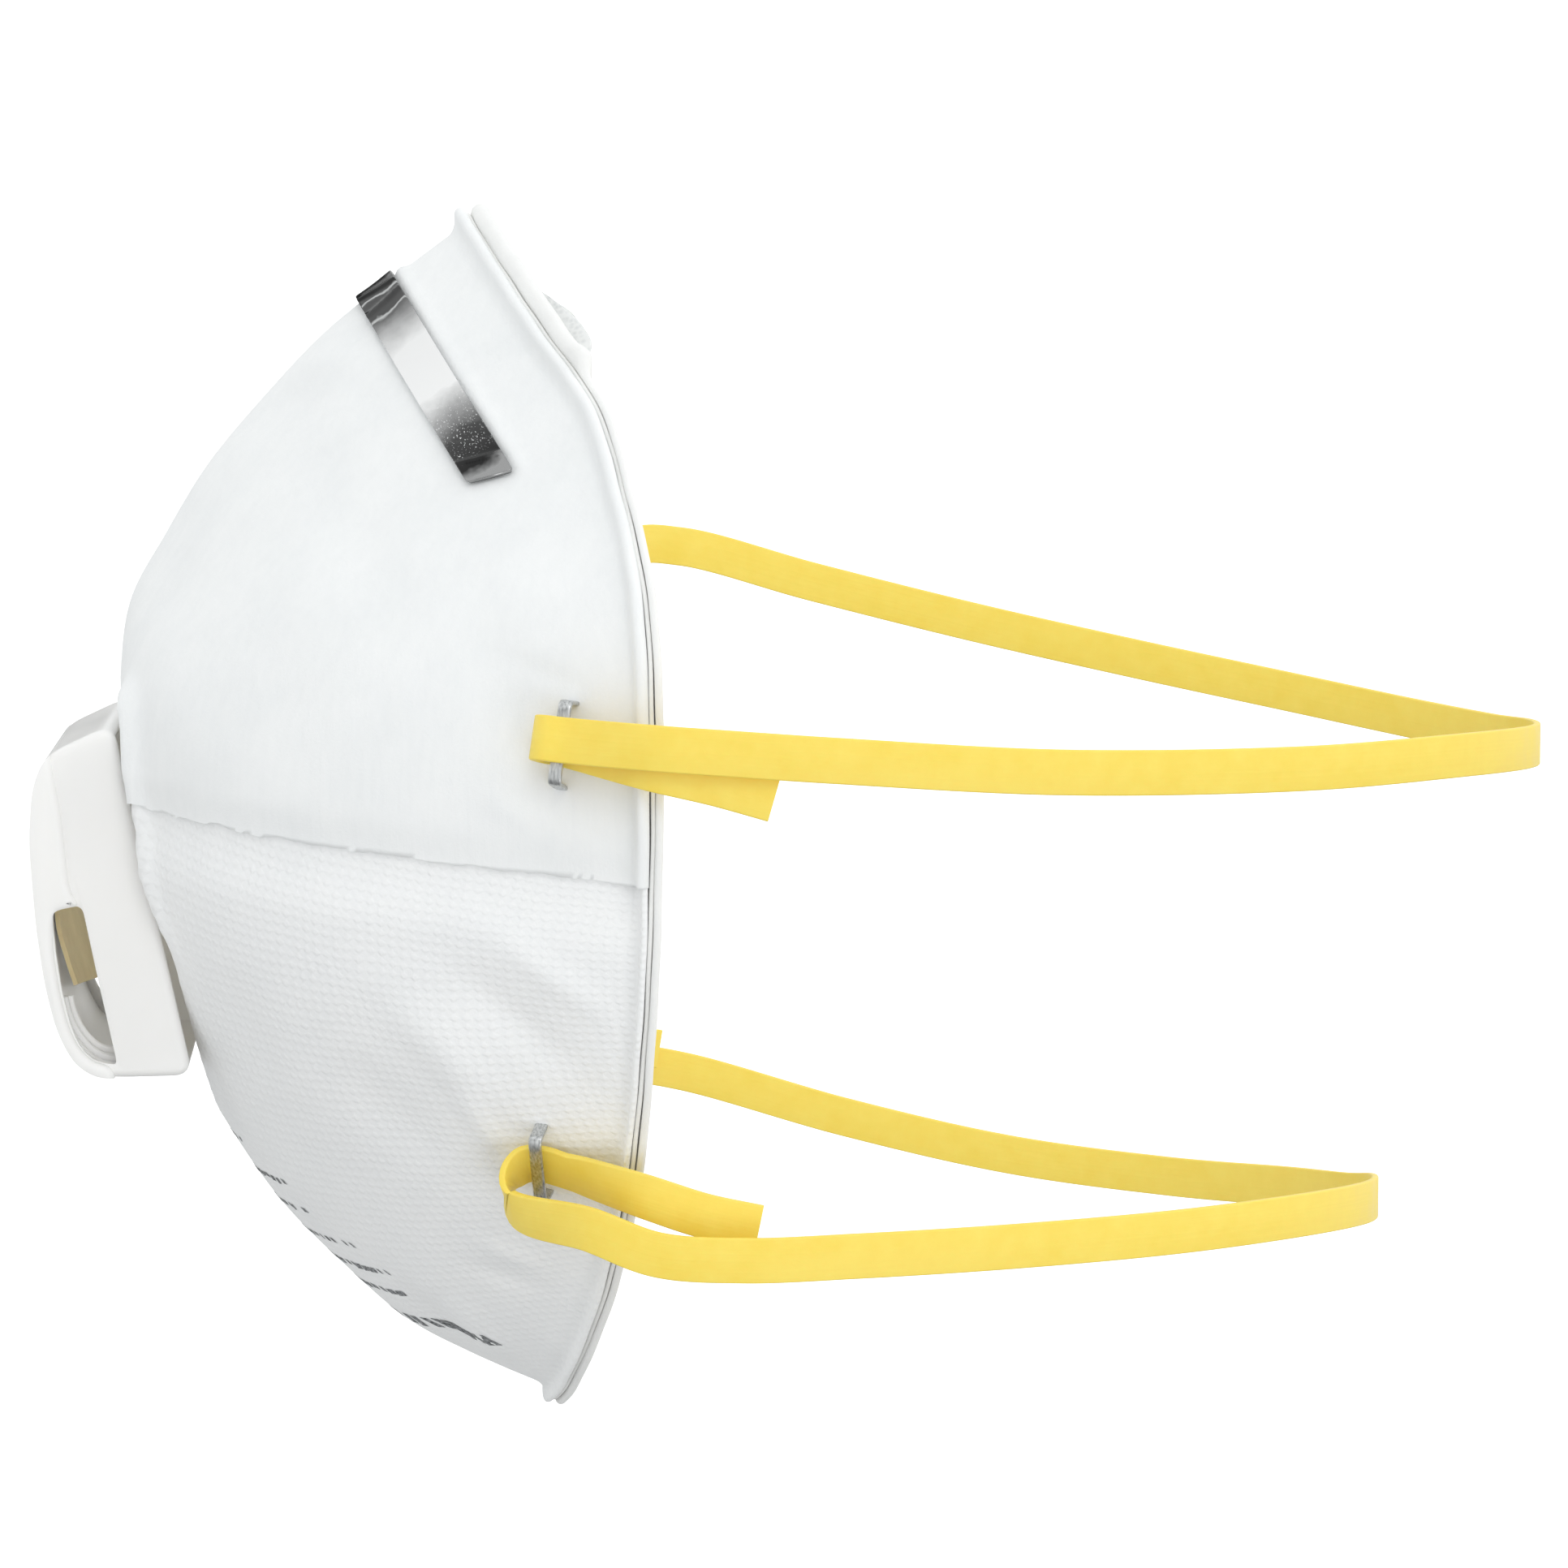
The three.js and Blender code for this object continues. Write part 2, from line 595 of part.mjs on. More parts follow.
const looks = {
  cloth: { color: 0xf4f5f5, roughness: 0.9, metalness: 0 },
  lower: { color: 0xe9ebec, roughness: 0.9, metalness: 0 },
  inner: { color: 0xf0efec, roughness: 0.95, metalness: 0 },
  metal: { color: 0xc9ccd0, roughness: 0.25, metalness: 1 },
  foam: { color: 0xdfe2e4, roughness: 0.95, metalness: 0 },
  plastic: { color: 0xf1f2ef, roughness: 0.35, metalness: 0 },
  flap: { color: 0xb0a070, roughness: 0.6, metalness: 0 },
  yellow: { color: 0xf3d667, roughness: 0.5, metalness: 0 },
};

const group = new THREE.Group();
function piece(name, geometry, look) {
  const mesh = new THREE.Mesh(geometry, new THREE.MeshStandardMaterial(looks[look]));
  mesh.name = name;
  group.add(mesh);
}

piece('upper_cover_web', geometryOf(upperWeb), 'cloth');
piece('lower_cover_web', geometryOf(lowerWeb), 'lower');
const filter = mainBody(pierced(layer(even(FILTER[0]), FILTER[1] - FILTER[0], WEB_LIP, 0)));
const shell = mainBody(pierced(layer(even(SHELL[0]), SHELL[1] - SHELL[0], SHELL_LIP, LIP)));
const innerWeb = mainBody(pierced(layer(even(INNER_WEB[0]), INNER_WEB[1] - INNER_WEB[0], INNER_LIP, LIP)));
piece('filter_layer', geometryOf(filter), 'inner');
piece('shaping_shell', geometryOf(shell), 'inner');
piece('inner_cover_web', geometryOf(innerWeb), 'cloth');
piece('nose_clip', noseClip(), 'metal');
piece('nose_foam', noseFoam(), 'foam');
piece('valve_base', valveBase(), 'plastic');
piece('valve_flap', valveFlap(), 'flap');
piece('valve_cover', valveCover(), 'plastic');
piece('upper_strap', strap(UPPER_PATH, 150), 'yellow');
piece('lower_strap', strap(LOWER_PATH, 150), 'yellow');
Object.entries(stapleFrames).forEach(([name, frame]) => piece(name, staple(frame), 'metal'));

export default group;
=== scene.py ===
import math
from contextlib import contextmanager
from functools import lru_cache

import bmesh
import bpy
import numpy as np
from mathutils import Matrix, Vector, noise


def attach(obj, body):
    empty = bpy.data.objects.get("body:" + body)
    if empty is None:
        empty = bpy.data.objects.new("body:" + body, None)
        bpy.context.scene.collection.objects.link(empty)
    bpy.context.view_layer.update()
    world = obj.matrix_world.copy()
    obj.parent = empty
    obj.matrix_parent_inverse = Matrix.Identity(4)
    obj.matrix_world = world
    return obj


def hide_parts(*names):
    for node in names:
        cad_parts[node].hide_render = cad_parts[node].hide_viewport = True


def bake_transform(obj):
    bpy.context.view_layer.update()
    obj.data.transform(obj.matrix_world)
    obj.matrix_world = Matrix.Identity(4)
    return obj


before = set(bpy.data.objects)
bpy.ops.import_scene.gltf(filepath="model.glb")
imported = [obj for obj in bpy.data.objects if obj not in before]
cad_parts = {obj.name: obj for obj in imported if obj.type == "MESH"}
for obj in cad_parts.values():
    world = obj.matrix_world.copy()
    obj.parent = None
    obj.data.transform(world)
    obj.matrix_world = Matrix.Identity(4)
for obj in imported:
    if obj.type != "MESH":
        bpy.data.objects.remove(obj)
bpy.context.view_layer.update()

# Lengths below are in millimetres, in the part's own frame, until a mesh is made.
MM = 0.001
TO_HEAD = np.array([0.0, 1.0, 0.0])

# ---- driving dimensions ----

APEX_Y, APEX_Z = -59.7, 6.0
LAP = 0.8                     # how far the lower web dips under the upper web
LAP_WIDTH = 6.0
SEAM_FRONT = (-57, 2.9)       # y and height of the seam at the front of the cup
SEAM_RIM = (-4, -1.9)         # and where it meets the rim
CLOTH = 0.4                   # thickness of a cover web
GAP = 0.3

# Each lip of the welded edge: its two faces behind the cup's edge, its reach, and how much thicker it
# grows at the nose.
UPPER_LIP = (-0.25, 1.05, 2.5, 0)
LOWER_LIP = (0.3, 0.95, 2.25, 0)
SHELL_LIP = (1.1, 1.6, 1.9, 0)
INNER_LIP = (1.65, 2.5, 2.4, 1.3)
FLARE_END = 0.104             # how far round the edge the flare reaches before it stops at a corner

CLIP_NORMAL = np.array([0, 0.846, 0.533])     # the clip runs along a plane across the nose
CLIP_LEVEL = float(np.array([0, -30.2, 59.2]) @ CLIP_NORMAL)
CLIP_TURN = 0.142
CLIP_HALF = 2.5
CLIP_REACH = 0.036            # metres from its middle to its end, along the head's width

FOAM_TURN = 0.15              # how far round the edge the foam reaches
FOAM_FRONT = 0.84             # where on the cup its front edge lies
FOAM_DEPTH = 3.95             # and how deep under the cup's outer surface

VALVE_TILT = math.radians(12)
VALVE_CENTRE = np.array([0, -54.8, -8.0])
VALVE_UP = np.array([0, -math.sin(VALVE_TILT), math.cos(VALVE_TILT)])
VALVE_OUT = np.array([0, -math.cos(VALVE_TILT), -math.sin(VALVE_TILT)])
COLLAR_HALF = 11.2
BORE_HALF = 9.8
FLAT_HALF = 20.5              # half width of the flat that the valve's flange rests on
FLAT_RISE = 26                # its half height, about a middle 1.5 mm below the valve's own

STRAP_WIDE = 4.8
STRAP_THICK = 0.8
STAPLE_SPOTS = {"upper": (-10.6, 12.3), "lower": (-12.7, -33)}     # y and height on the cup's side
STAPLE_SPAN = 9.2
CROWN_TOP = 2.8

# The cup's edge down its left half, from nose to chin.
EDGE_LEFT = [
    (0, -21.3, 65.9), (13, -18.2, 61), (24.5, -13.6, 54), (34, -8, 46), (43.5, -5.2, 36.8),
    (51.5, -3.2, 26), (56.2, -2.8, 12), (56.8, -3, -4), (53.5, -3.6, -19), (46.3, -4.8, -33.5),
    (35.3, -7, -47), (19, -10.4, -60), (0, -12.4, -66.2),
]

# Profiles from the front to the edge: share of the way out, and share of the height left.
TOP_PROFILE = [
    (0, 1), (0.16, 0.998), (0.3, 0.968), (0.43, 0.86), (0.56, 0.735), (0.69, 0.565),
    (0.81, 0.385), (0.916, 0.175), (1, 0),
]
SIDE_PROFILE = [
    (0, 1), (0.18, 0.99), (0.36, 0.945), (0.56, 0.82), (0.73, 0.64), (0.85, 0.435),
    (0.93, 0.235), (0.975, 0.09), (1, 0),
]
CHIN_PROFILE = [
    (0, 1), (0.2, 0.98), (0.4, 0.9), (0.565, 0.765), (0.7, 0.628), (0.81, 0.468),
    (0.893, 0.326), (0.95, 0.17), (1, 0),
]


# ---- curves ----

def smooth(low, high, value):
    t = np.clip((value - low) / (high - low), 0, 1)
    return t * t * (3 - 2 * t)


def spline(stops, places, closed=False):
    """Points on a centripetal Catmull-Rom curve through the stops, at places from 0 to 1."""
    stops = np.asarray(stops, float)
    places = np.asarray(places, float)
    if closed:
        ring = np.concatenate([stops[-1:], stops, stops[:2]])
        spans = len(stops)
        at = (places % 1) * spans
    else:
        ring = np.concatenate([[2 * stops[0] - stops[1]], stops, [2 * stops[-1] - stops[-2]]])
        spans = len(stops) - 1
        at = np.clip(places, 0, 1) * spans
    first = np.minimum(at.astype(int), spans - 1)
    t = (at - first)[..., None]
    p0, p1, p2, p3 = (ring[first + i] for i in range(4))

    def reach(a, b):
        return np.maximum(np.sum((b - a) ** 2, -1, keepdims=True) ** 0.25, 1e-4)

    d0, d1, d2 = reach(p0, p1), reach(p1, p2), reach(p2, p3)
    m1 = ((p1 - p0) / d0 - (p2 - p0) / (d0 + d1) + (p2 - p1) / d1) * d1
    m2 = ((p2 - p1) / d1 - (p3 - p1) / (d1 + d2) + (p3 - p2) / d2) * d1
    return p1 + m1 * t + (3 * (p2 - p1) - 2 * m1 - m2) * t**2 + (2 * (p1 - p2) + m1 + m2) * t**3


def unit(vectors):
    return vectors / np.maximum(np.linalg.norm(vectors, axis=-1, keepdims=True), 1e-9)


def even_places(stops, count):
    """Places along an open spline that divide its length evenly."""
    fine = np.linspace(0, 1, 3000)
    steps = np.linalg.norm(np.diff(spline(stops, fine), axis=0), axis=1)
    length = np.concatenate([[0], np.cumsum(steps)])
    return np.interp(np.linspace(0, length[-1], count), length, fine)


# ---- the cup's surface ----

EDGE = EDGE_LEFT + [(-x, y, z) for x, y, z in EDGE_LEFT[-2:0:-1]]


def edge(turn):
    return spline(EDGE, turn, closed=True)


def edge_outward(turn):
    ahead = edge(turn + 0.005) - edge(turn - 0.005)
    out = unit(np.stack([-ahead[..., 2], 0 * ahead[..., 0], ahead[..., 0]], -1))
    here = edge(turn)
    side = out[..., 0] * here[..., 0] + out[..., 2] * (here[..., 2] - APEX_Z)
    return np.where(side[..., None] < 0, -out, out)


def dome(turn, s):
    rim = edge(turn)
    rise = rim[..., 2] - APEX_Z
    up = rise / np.hypot(rim[..., 0], rise)
    top, side, chin = (spline(p, s) for p in (TOP_PROFILE, SIDE_PROFILE, CHIN_PROFILE))
    steep = (up * up)[..., None]
    blend = np.where(up[..., None] > 0, top, chin) * steep + side * (1 - steep)
    r, h = blend[..., 0], blend[..., 1]
    return np.stack(
        [rim[..., 0] * r, rim[..., 1] + (APEX_Y - rim[..., 1]) * h, APEX_Z + rise * r], -1)


def flat_reach(points):
    """How far points lie from the middle of the valve's flat, as a share of the way to its outline."""
    along = (points - VALVE_CENTRE) @ VALVE_UP + 1.5
    return ((points[..., 0] / FLAT_HALF) ** 4 + (along / FLAT_RISE) ** 4) ** 0.25


def outer_point(turn, s):
    """The cup's outer surface, with the valve's flat pressed into the dome."""
    point = dome(turn, s)
    share = 1 - smooth(1, 1.75, flat_reach(point))
    height = (point - VALVE_CENTRE) @ VALVE_OUT
    return point + VALVE_OUT * (np.minimum(0, -GAP - height) * share)[..., None]


def cup_normal(turn, s):
    step = 0.012
    inner = np.clip(s, 0.04, 1 - step)
    around = outer_point(turn + step, inner) - outer_point(turn - step, inner)
    outward = outer_point(turn, inner + step) - outer_point(turn, inner - step)
    return unit(np.cross(around, outward))


def cup_point(turn, s, depth=0.0):
    turn, s = np.broadcast_arrays(np.asarray(turn, float), np.asarray(s, float))
    depth = np.broadcast_to(depth, turn.shape)
    return outer_point(turn, s) - cup_normal(turn, s) * depth[..., None]


# ---- meshes ----

def in_scene(name, data):
    made = bpy.data.objects.new(name, data)
    bpy.context.scene.collection.objects.link(made)
    return made


def new_object(name, points, faces, uv=None):
    mesh = bpy.data.meshes.new(name)
    mesh.from_pydata((np.asarray(points) * MM).tolist(), [], faces)
    if uv is not None:
        layer = mesh.uv_layers.new(name="blank")
        corner = np.empty(len(mesh.loops), int)
        mesh.loops.foreach_get("vertex_index", corner)
        layer.data.foreach_set("uv", np.asarray(uv)[corner].ravel())
    return in_scene(name, mesh)


def finished(made, material, body, slot, *nodes):
    """Gives a piece its material, its smooth shading and its place in the assembly."""
    mesh = made.data
    mesh.materials.clear()
    mesh.materials.append(material)
    mesh.shade_smooth()
    if body:
        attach(made, body)
    if nodes:
        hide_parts(*nodes)
    return made


@contextmanager
def editing(made):
    """Opens an object's mesh for editing and writes it back."""
    work = bmesh.new()
    work.from_mesh(made.data)
    yield work
    work.to_mesh(made.data)
    work.free()


def facing_out(made):
    with editing(made) as work:
        bmesh.ops.recalc_face_normals(work, faces=work.faces)
    return made


def grid_faces(rows, columns, closed_columns=True):
    faces = []
    for i in range(rows - 1):
        for j in range(columns if closed_columns else columns - 1):
            k = (j + 1) % columns
            faces.append((i * columns + j, i * columns + k, (i + 1) * columns + k, (i + 1) * columns + j))
    return faces


def squarish(angle, power_x, power_y):
    """A place on a round ring pushed towards its corners; the lower the powers, the squarer."""
    x, y = math.cos(angle), math.sin(angle)
    return math.copysign(abs(x) ** power_x, x), math.copysign(abs(y) ** power_y, y)


def swept(name, sections, uv=None):
    """A closed piece through rings of points, with its ends filled."""
    rows, columns = len(sections), len(sections[0])
    faces = grid_faces(rows, columns)
    faces.append(tuple(range(columns))[::-1])
    faces.append(tuple((rows - 1) * columns + j for j in range(columns)))
    return facing_out(new_object(name, np.concatenate(sections), faces, uv))


def with_modifier(made, kind, **settings):
    """Adds a modifier and bakes its result into the mesh."""
    modifier = made.modifiers.new(kind.lower(), kind)
    for key, value in settings.items():
        setattr(modifier, key, value)
    shown = made.evaluated_get(bpy.context.evaluated_depsgraph_get())
    mesh = bpy.data.meshes.new_from_object(shown)
    made.modifiers.clear()
    made.data = mesh
    return made


def cut(made, *cutters, operation="DIFFERENCE"):
    for cutter in cutters:
        with_modifier(made, "BOOLEAN", operation=operation, object=cutter, solver="EXACT")
        bpy.data.objects.remove(cutter)
    return made


# ---- material helpers ----

def node(tree, kind, inputs=None, **settings):
    made = tree.nodes.new("ShaderNode" + kind)
    for key, value in settings.items():
        setattr(made, key, value)
    for key, value in (inputs or {}).items():
        if isinstance(value, bpy.types.NodeSocket):
            tree.links.new(value, made.inputs[key])
        else:
            made.inputs[key].default_value = value
    return made


def maths(tree, operation, a, b=0.0):
    return node(tree, "Math", {0: a, 1: b}, operation=operation).outputs[0]


def noise_of(tree, vector, scale, detail=2.0, roughness=0.5):
    inputs = {"Vector": vector, "Scale": scale, "Detail": detail, "Roughness": roughness}
    return node(tree, "TexNoise", inputs).outputs[0]


def stretched(tree, vector, scale):
    return node(tree, "Mapping", {"Vector": vector, "Scale": scale}).outputs[0]


def ramp(tree, value, *stops):
    """A colour ramp; each stop is a place and a colour or a grey level."""
    made = node(tree, "ValToRGB", {"Fac": value})
    elements = made.color_ramp.elements
    while len(elements) < len(stops):
        elements.new(0.5)
    for element, (place, colour) in zip(elements, stops):
        element.position = place
        level = (colour, colour, colour) if isinstance(colour, (int, float)) else colour
        element.color = (*level, 1)
    return made.outputs[0]


def bumped(tree, height, distance, strength=1.0, under=None):
    inputs = {"Height": height, "Distance": distance, "Strength": strength}
    if under is not None:
        inputs["Normal"] = under
    return node(tree, "Bump", inputs).outputs[0]


def material(name, **sockets):
    """A new material with its Principled shader's plain sockets set."""
    made = bpy.data.materials.new(name)
    made.use_nodes = True
    shader = made.node_tree.nodes["Principled BSDF"]
    for key, value in sockets.items():
        shader.inputs[key.replace("_", " ")].default_value = value
    return made, made.node_tree, shader


def link(tree, shader, **sockets):
    for key, socket in sockets.items():
        tree.links.new(socket, shader.inputs[key.replace("_", " ")])


def object_place(tree):
    return node(tree, "TexCoord").outputs["Object"]


def blank_place(tree):
    return node(tree, "UVMap", uv_map="blank").outputs[0]


# ---- materials ----

def cloth_material(name, light, dark, fibre_stretch, emboss=0.0):
    """White non-woven: matted fibres, cloudy thickness and, where asked, an embossed dot grid."""
    made, tree, shader = material(name, Roughness=0.85, Sheen_Weight=0.25, Sheen_Roughness=0.5,
                                  Subsurface_Weight=0.12, Subsurface_Scale=0.002,
                                  Subsurface_Radius=(1.0, 0.95, 0.9), Specular_IOR_Level=0.25)
    place = object_place(tree)
    lines = noise_of(tree, stretched(tree, place, fibre_stretch), 900, 3, 0.6)
    fuzz = noise_of(tree, place, 3200, 2, 0.7)
    clouds = noise_of(tree, place, 110, 3, 0.55)
    mottle = maths(tree, "ADD", maths(tree, "MULTIPLY", clouds, 0.7), maths(tree, "MULTIPLY", lines, 0.3))
    colour = ramp(tree, mottle, (0.3, dark), (0.68, light))
    normal = bumped(tree, fuzz, 0.00007, 0.5)
    normal = bumped(tree, lines, 0.00016, 0.55, normal)
    if emboss:
        spots = dot_grid(tree)
        normal = bumped(tree, spots, emboss, 0.8, normal)
        # The raised dots are drawn a little whiter than the cloth around them.
        whiter_dots = node(tree, "Mix", {"Factor": maths(tree, "MULTIPLY", spots, 0.25), "A": colour,
                                  "B": (1.0, 1.0, 1.0, 1.0)}, data_type="RGBA")
        colour = whiter_dots.outputs["Result"]
    link(tree, shader, Base_Color=colour, Normal=normal)
    return made


def dot_grid(tree):
    """Small oval dots in offset rows, laid out on the flat cloth."""
    pitch = 0.0019
    place = node(tree, "VectorRotate", {"Vector": blank_place(tree), "Angle": math.radians(14)},
                 rotation_type="Z_AXIS").outputs[0]
    wander = noise_of(tree, place, 160, 1)
    split = node(tree, "SeparateXYZ", {"Vector": place})
    across = maths(tree, "ADD", split.outputs[0], maths(tree, "MULTIPLY", wander, 0.0012))
    down = maths(tree, "ADD", split.outputs[1], maths(tree, "MULTIPLY", wander, 0.0009))
    total = maths(tree, "ADD", across, down)
    change = maths(tree, "SUBTRACT", across, down)
    turns = 2 * math.pi / pitch / math.sqrt(2)
    waves = [maths(tree, "SINE", maths(tree, "MULTIPLY", each, turns)) for each in (total, change)]
    level = maths(tree, "MULTIPLY", waves[0], waves[1])
    return maths(tree, "SMOOTH_MIN", maths(tree, "MAXIMUM", level, -0.1), 0.7)


def aluminium_material():
    """Rolled aluminium strip with a painted reflection: dark at its crest and ends, bright between, with
    painted highlights along its creases and scuffs drawn as painted glints.
    """
    made, tree, shader = material("clip_aluminium", Metallic=1.0, Roughness=0.2)
    place = object_place(tree)
    away = maths(tree, "ABSOLUTE", node(tree, "SeparateXYZ", {"Vector": place}).outputs[0])
    wander = noise_of(tree, place, 260, 3, 0.6)
    half_length = maths(tree, "MULTIPLY", away, 1 / CLIP_REACH)
    along = maths(tree, "ADD", half_length, maths(tree, "MULTIPLY", wander, 0.08))
    # Painted reflection: the strip's colour runs dark at its crest and ends and bright between, standing in
    # for what the metal reflects.
    painted_reflection = ramp(tree, along, (0.14, 0.02), (0.2, 0.05), (0.3, 0.09), (0.4, 0.5), (0.5, 0.86),
                (0.71, 0.9), (0.79, 0.4), (0.86, 0.08), (0.97, 0.03), (1.0, 0.35))
    # Painted highlights: thin bright lines along two creases of the strip.
    creases = ramp(tree, along, (0.182, 0), (0.19, 1), (0.194, 1), (0.2, 0), (0.286, 0), (0.294, 1),
                   (0.298, 1), (0.306, 0))
    fine = noise_of(tree, stretched(tree, place, (0.4, 1.0, 1.0)), 5200, 2, 0.6)
    # Scuffs near the ends, drawn as bright specks: real marks shown with a painted glint.
    scuff_glints = maths(tree, "MULTIPLY", ramp(tree, fine, (0.62, 0), (0.68, 0.7)),
                   ramp(tree, along, (0.7, 0), (0.8, 1), (0.92, 1), (0.95, 0)))
    # The painted highlights and glints lift the colour towards the bright shine.
    bright = maths(tree, "MAXIMUM", scuff_glints, maths(tree, "MULTIPLY", creases, 0.55))
    shine = (0.9, 0.91, 0.91, 1.0)
    colour = node(tree, "Mix", {"Factor": bright, "A": painted_reflection, "B": shine}, data_type="RGBA").outputs["Result"]
    rolled = noise_of(tree, stretched(tree, place, (1, 6, 6)), 300, 3)
    rough = ramp(tree, rolled, (0.3, 0.14), (0.7, 0.26))
    link(tree, shader, Base_Color=colour, Roughness=rough, Normal=bumped(tree, fine, 0.00003, 0.3))
    return made


def steel_material():
    made, tree, shader = material("staple_steel", Metallic=1.0, Roughness=0.3)
    place = object_place(tree)
    drawn = noise_of(tree, stretched(tree, place, (3, 3, 0.4)), 1500, 3)
    colour = ramp(tree, drawn, (0.35, (0.4, 0.41, 0.41)), (0.65, (0.68, 0.69, 0.69)))
    rough = ramp(tree, drawn, (0.3, 0.25), (0.7, 0.42))
    link(tree, shader, Base_Color=colour, Roughness=rough, Normal=bumped(tree, drawn, 0.00003, 0.5))
    return made


def moulded_material(name, light, dark, roughness):
    """Satin moulded plastic with a faint flow pattern and orange-peel."""
    made, tree, shader = material(name, Roughness=roughness, Subsurface_Weight=0.35,
                                  Subsurface_Scale=0.004, Subsurface_Radius=(1.0, 0.98, 0.9),
                                  Coat_Weight=0.08, Coat_Roughness=0.3)
    place = object_place(tree)
    flow = noise_of(tree, place, 70, 2)
    peel = noise_of(tree, place, 900, 2)
    rough = ramp(tree, flow, (0.3, roughness - 0.06), (0.7, roughness + 0.08))
    link(tree, shader, Base_Color=ramp(tree, flow, (0.3, dark), (0.7, light)), Roughness=rough,
         Normal=bumped(tree, peel, 0.00003, 0.35))
    return made


def foam_material():
    made, tree, shader = material("foam_cells", Roughness=0.95, Subsurface_Weight=0.1,
                                  Subsurface_Scale=0.0015, Subsurface_Radius=(1.0, 1.0, 1.0))
    place = object_place(tree)
    cells = node(tree, "TexVoronoi", {"Vector": place, "Scale": 1500}).outputs["Distance"]
    large = noise_of(tree, place, 500, 2)
    colour = ramp(tree, cells, (0.05, (0.72, 0.735, 0.735)), (0.6, (0.86, 0.87, 0.865)))
    normal = bumped(tree, cells, 0.00008, 0.5)
    link(tree, shader, Base_Color=colour, Normal=bumped(tree, large, 0.0001, 0.4, normal))
    return made


def strap_material():
    """Yellow rubber band: faint lengthwise drag lines and a dusting of powder."""
    made, tree, shader = material("strap_rubber", Roughness=0.42, Subsurface_Weight=0.1,
                                  Subsurface_Scale=0.001, Specular_IOR_Level=0.4)
    place = blank_place(tree)
    drag = noise_of(tree, stretched(tree, place, (30, 2200, 1)), 1.0, 2)
    dust = noise_of(tree, place, 300, 4, 0.65)
    colour = ramp(tree, dust, (0.3, (0.94, 0.705, 0.1)), (0.7, (0.97, 0.755, 0.135)))
    rough = ramp(tree, dust, (0.35, 0.36), (0.65, 0.52))
    normal = bumped(tree, drag, 0.00006, 0.5)
    link(tree, shader, Base_Color=colour, Roughness=rough, Normal=bumped(tree, dust, 0.00003, 0.3, normal))
    return made


def flap_material():
    made, tree, shader = material("flap_rubber", Roughness=0.6, Subsurface_Weight=0.15,
                                  Subsurface_Scale=0.001)
    place = object_place(tree)
    bloom = noise_of(tree, place, 260, 4, 0.6)
    colour = ramp(tree, bloom, (0.3, (0.66, 0.54, 0.29)), (0.7, (0.74, 0.61, 0.35)))
    link(tree, shader, Base_Color=colour, Normal=bumped(tree, bloom, 0.00005, 0.4))
    return made


def ink_material():
    made, tree, shader = material("ink", Roughness=0.8)
    blots = noise_of(tree, object_place(tree), 2600, 3, 0.6)
    colour = ramp(tree, blots, (0.38, (0.05, 0.055, 0.06)), (0.62, (0.4, 0.41, 0.42)))
    link(tree, shader, Base_Color=colour)
    return made


WEB_WHITE = (0.93, 0.94, 0.94)
upper_cloth = cloth_material("upper_cloth", WEB_WHITE, (0.87, 0.885, 0.89), (1, 1, 0.12))
# The lower web's white is painted lighter than the upper web's: painted light that offsets the shade it gets
# from facing downwards.
lower_cloth = cloth_material("lower_cloth", (0.965, 0.97, 0.97), (0.92, 0.93, 0.935), (1, 1, 0.5), 0.00009)
inner_cloth = cloth_material("inner_cloth", (0.93, 0.93, 0.915), (0.87, 0.87, 0.86), (1, 1, 0.4))
hidden_cloth = cloth_material("core_cloth", (0.92, 0.92, 0.9), (0.84, 0.84, 0.82), (1, 1, 1))
aluminium = aluminium_material()
steel = steel_material()
cover_plastic = moulded_material("valve_cover_plastic", (0.92, 0.91, 0.89), (0.89, 0.88, 0.86), 0.34)
base_plastic = moulded_material("valve_base_plastic", (0.93, 0.925, 0.9), (0.9, 0.895, 0.87), 0.4)
foam_cells = foam_material()
yellow = strap_material()
tan = flap_material()
ink = ink_material()


# ---- cloth layers ----

# Soft creases of the cover: start and end on the cup's side as (y, z), width and lift.
UPPER_CREASES = [
    ((-49, 44), (-34, 49), 2.6, -0.7), ((-44, 49), (-30, 53), 1.8, 0.4),
    ((-36, 40), (-26, 22), 4.0, -0.55), ((-22, 30), (-12, 8), 3.5, -0.5),
    ((-55, 26), (-50, 4), 4.0, 0.5), ((-43, 30), (-38, 4), 5.0, -0.35),
    ((-18, 22), (-7, 18), 1.2, -0.3), ((-20, 8), (-12, 3), 1.5, 0.3),
]
LOWER_CREASES = [
    ((-30, -14), (-14, -30), 2.8, 1.0), ((-24, -10), (-8, -24), 2.6, -0.85),
    ((-19, -7), (-5, -17), 1.8, 0.6), ((-36, -22), (-22, -36), 3.4, -0.6),
    ((-22, -24), (-17, -33), 1.6, 0.7), ((-25, -52), (-14, -62), 2.0, 0.7),
    ((-30, -50), (-18, -62), 1.8, -0.6), ((-20, -44), (-12, -47), 1.0, 0.45),
    ((-22, -47), (-12, -50), 1.0, -0.4), ((-48, -12), (-42, -30), 3.0, -0.4),
    ((-14, -36), (-9, -37), 0.9, 0.4),
]


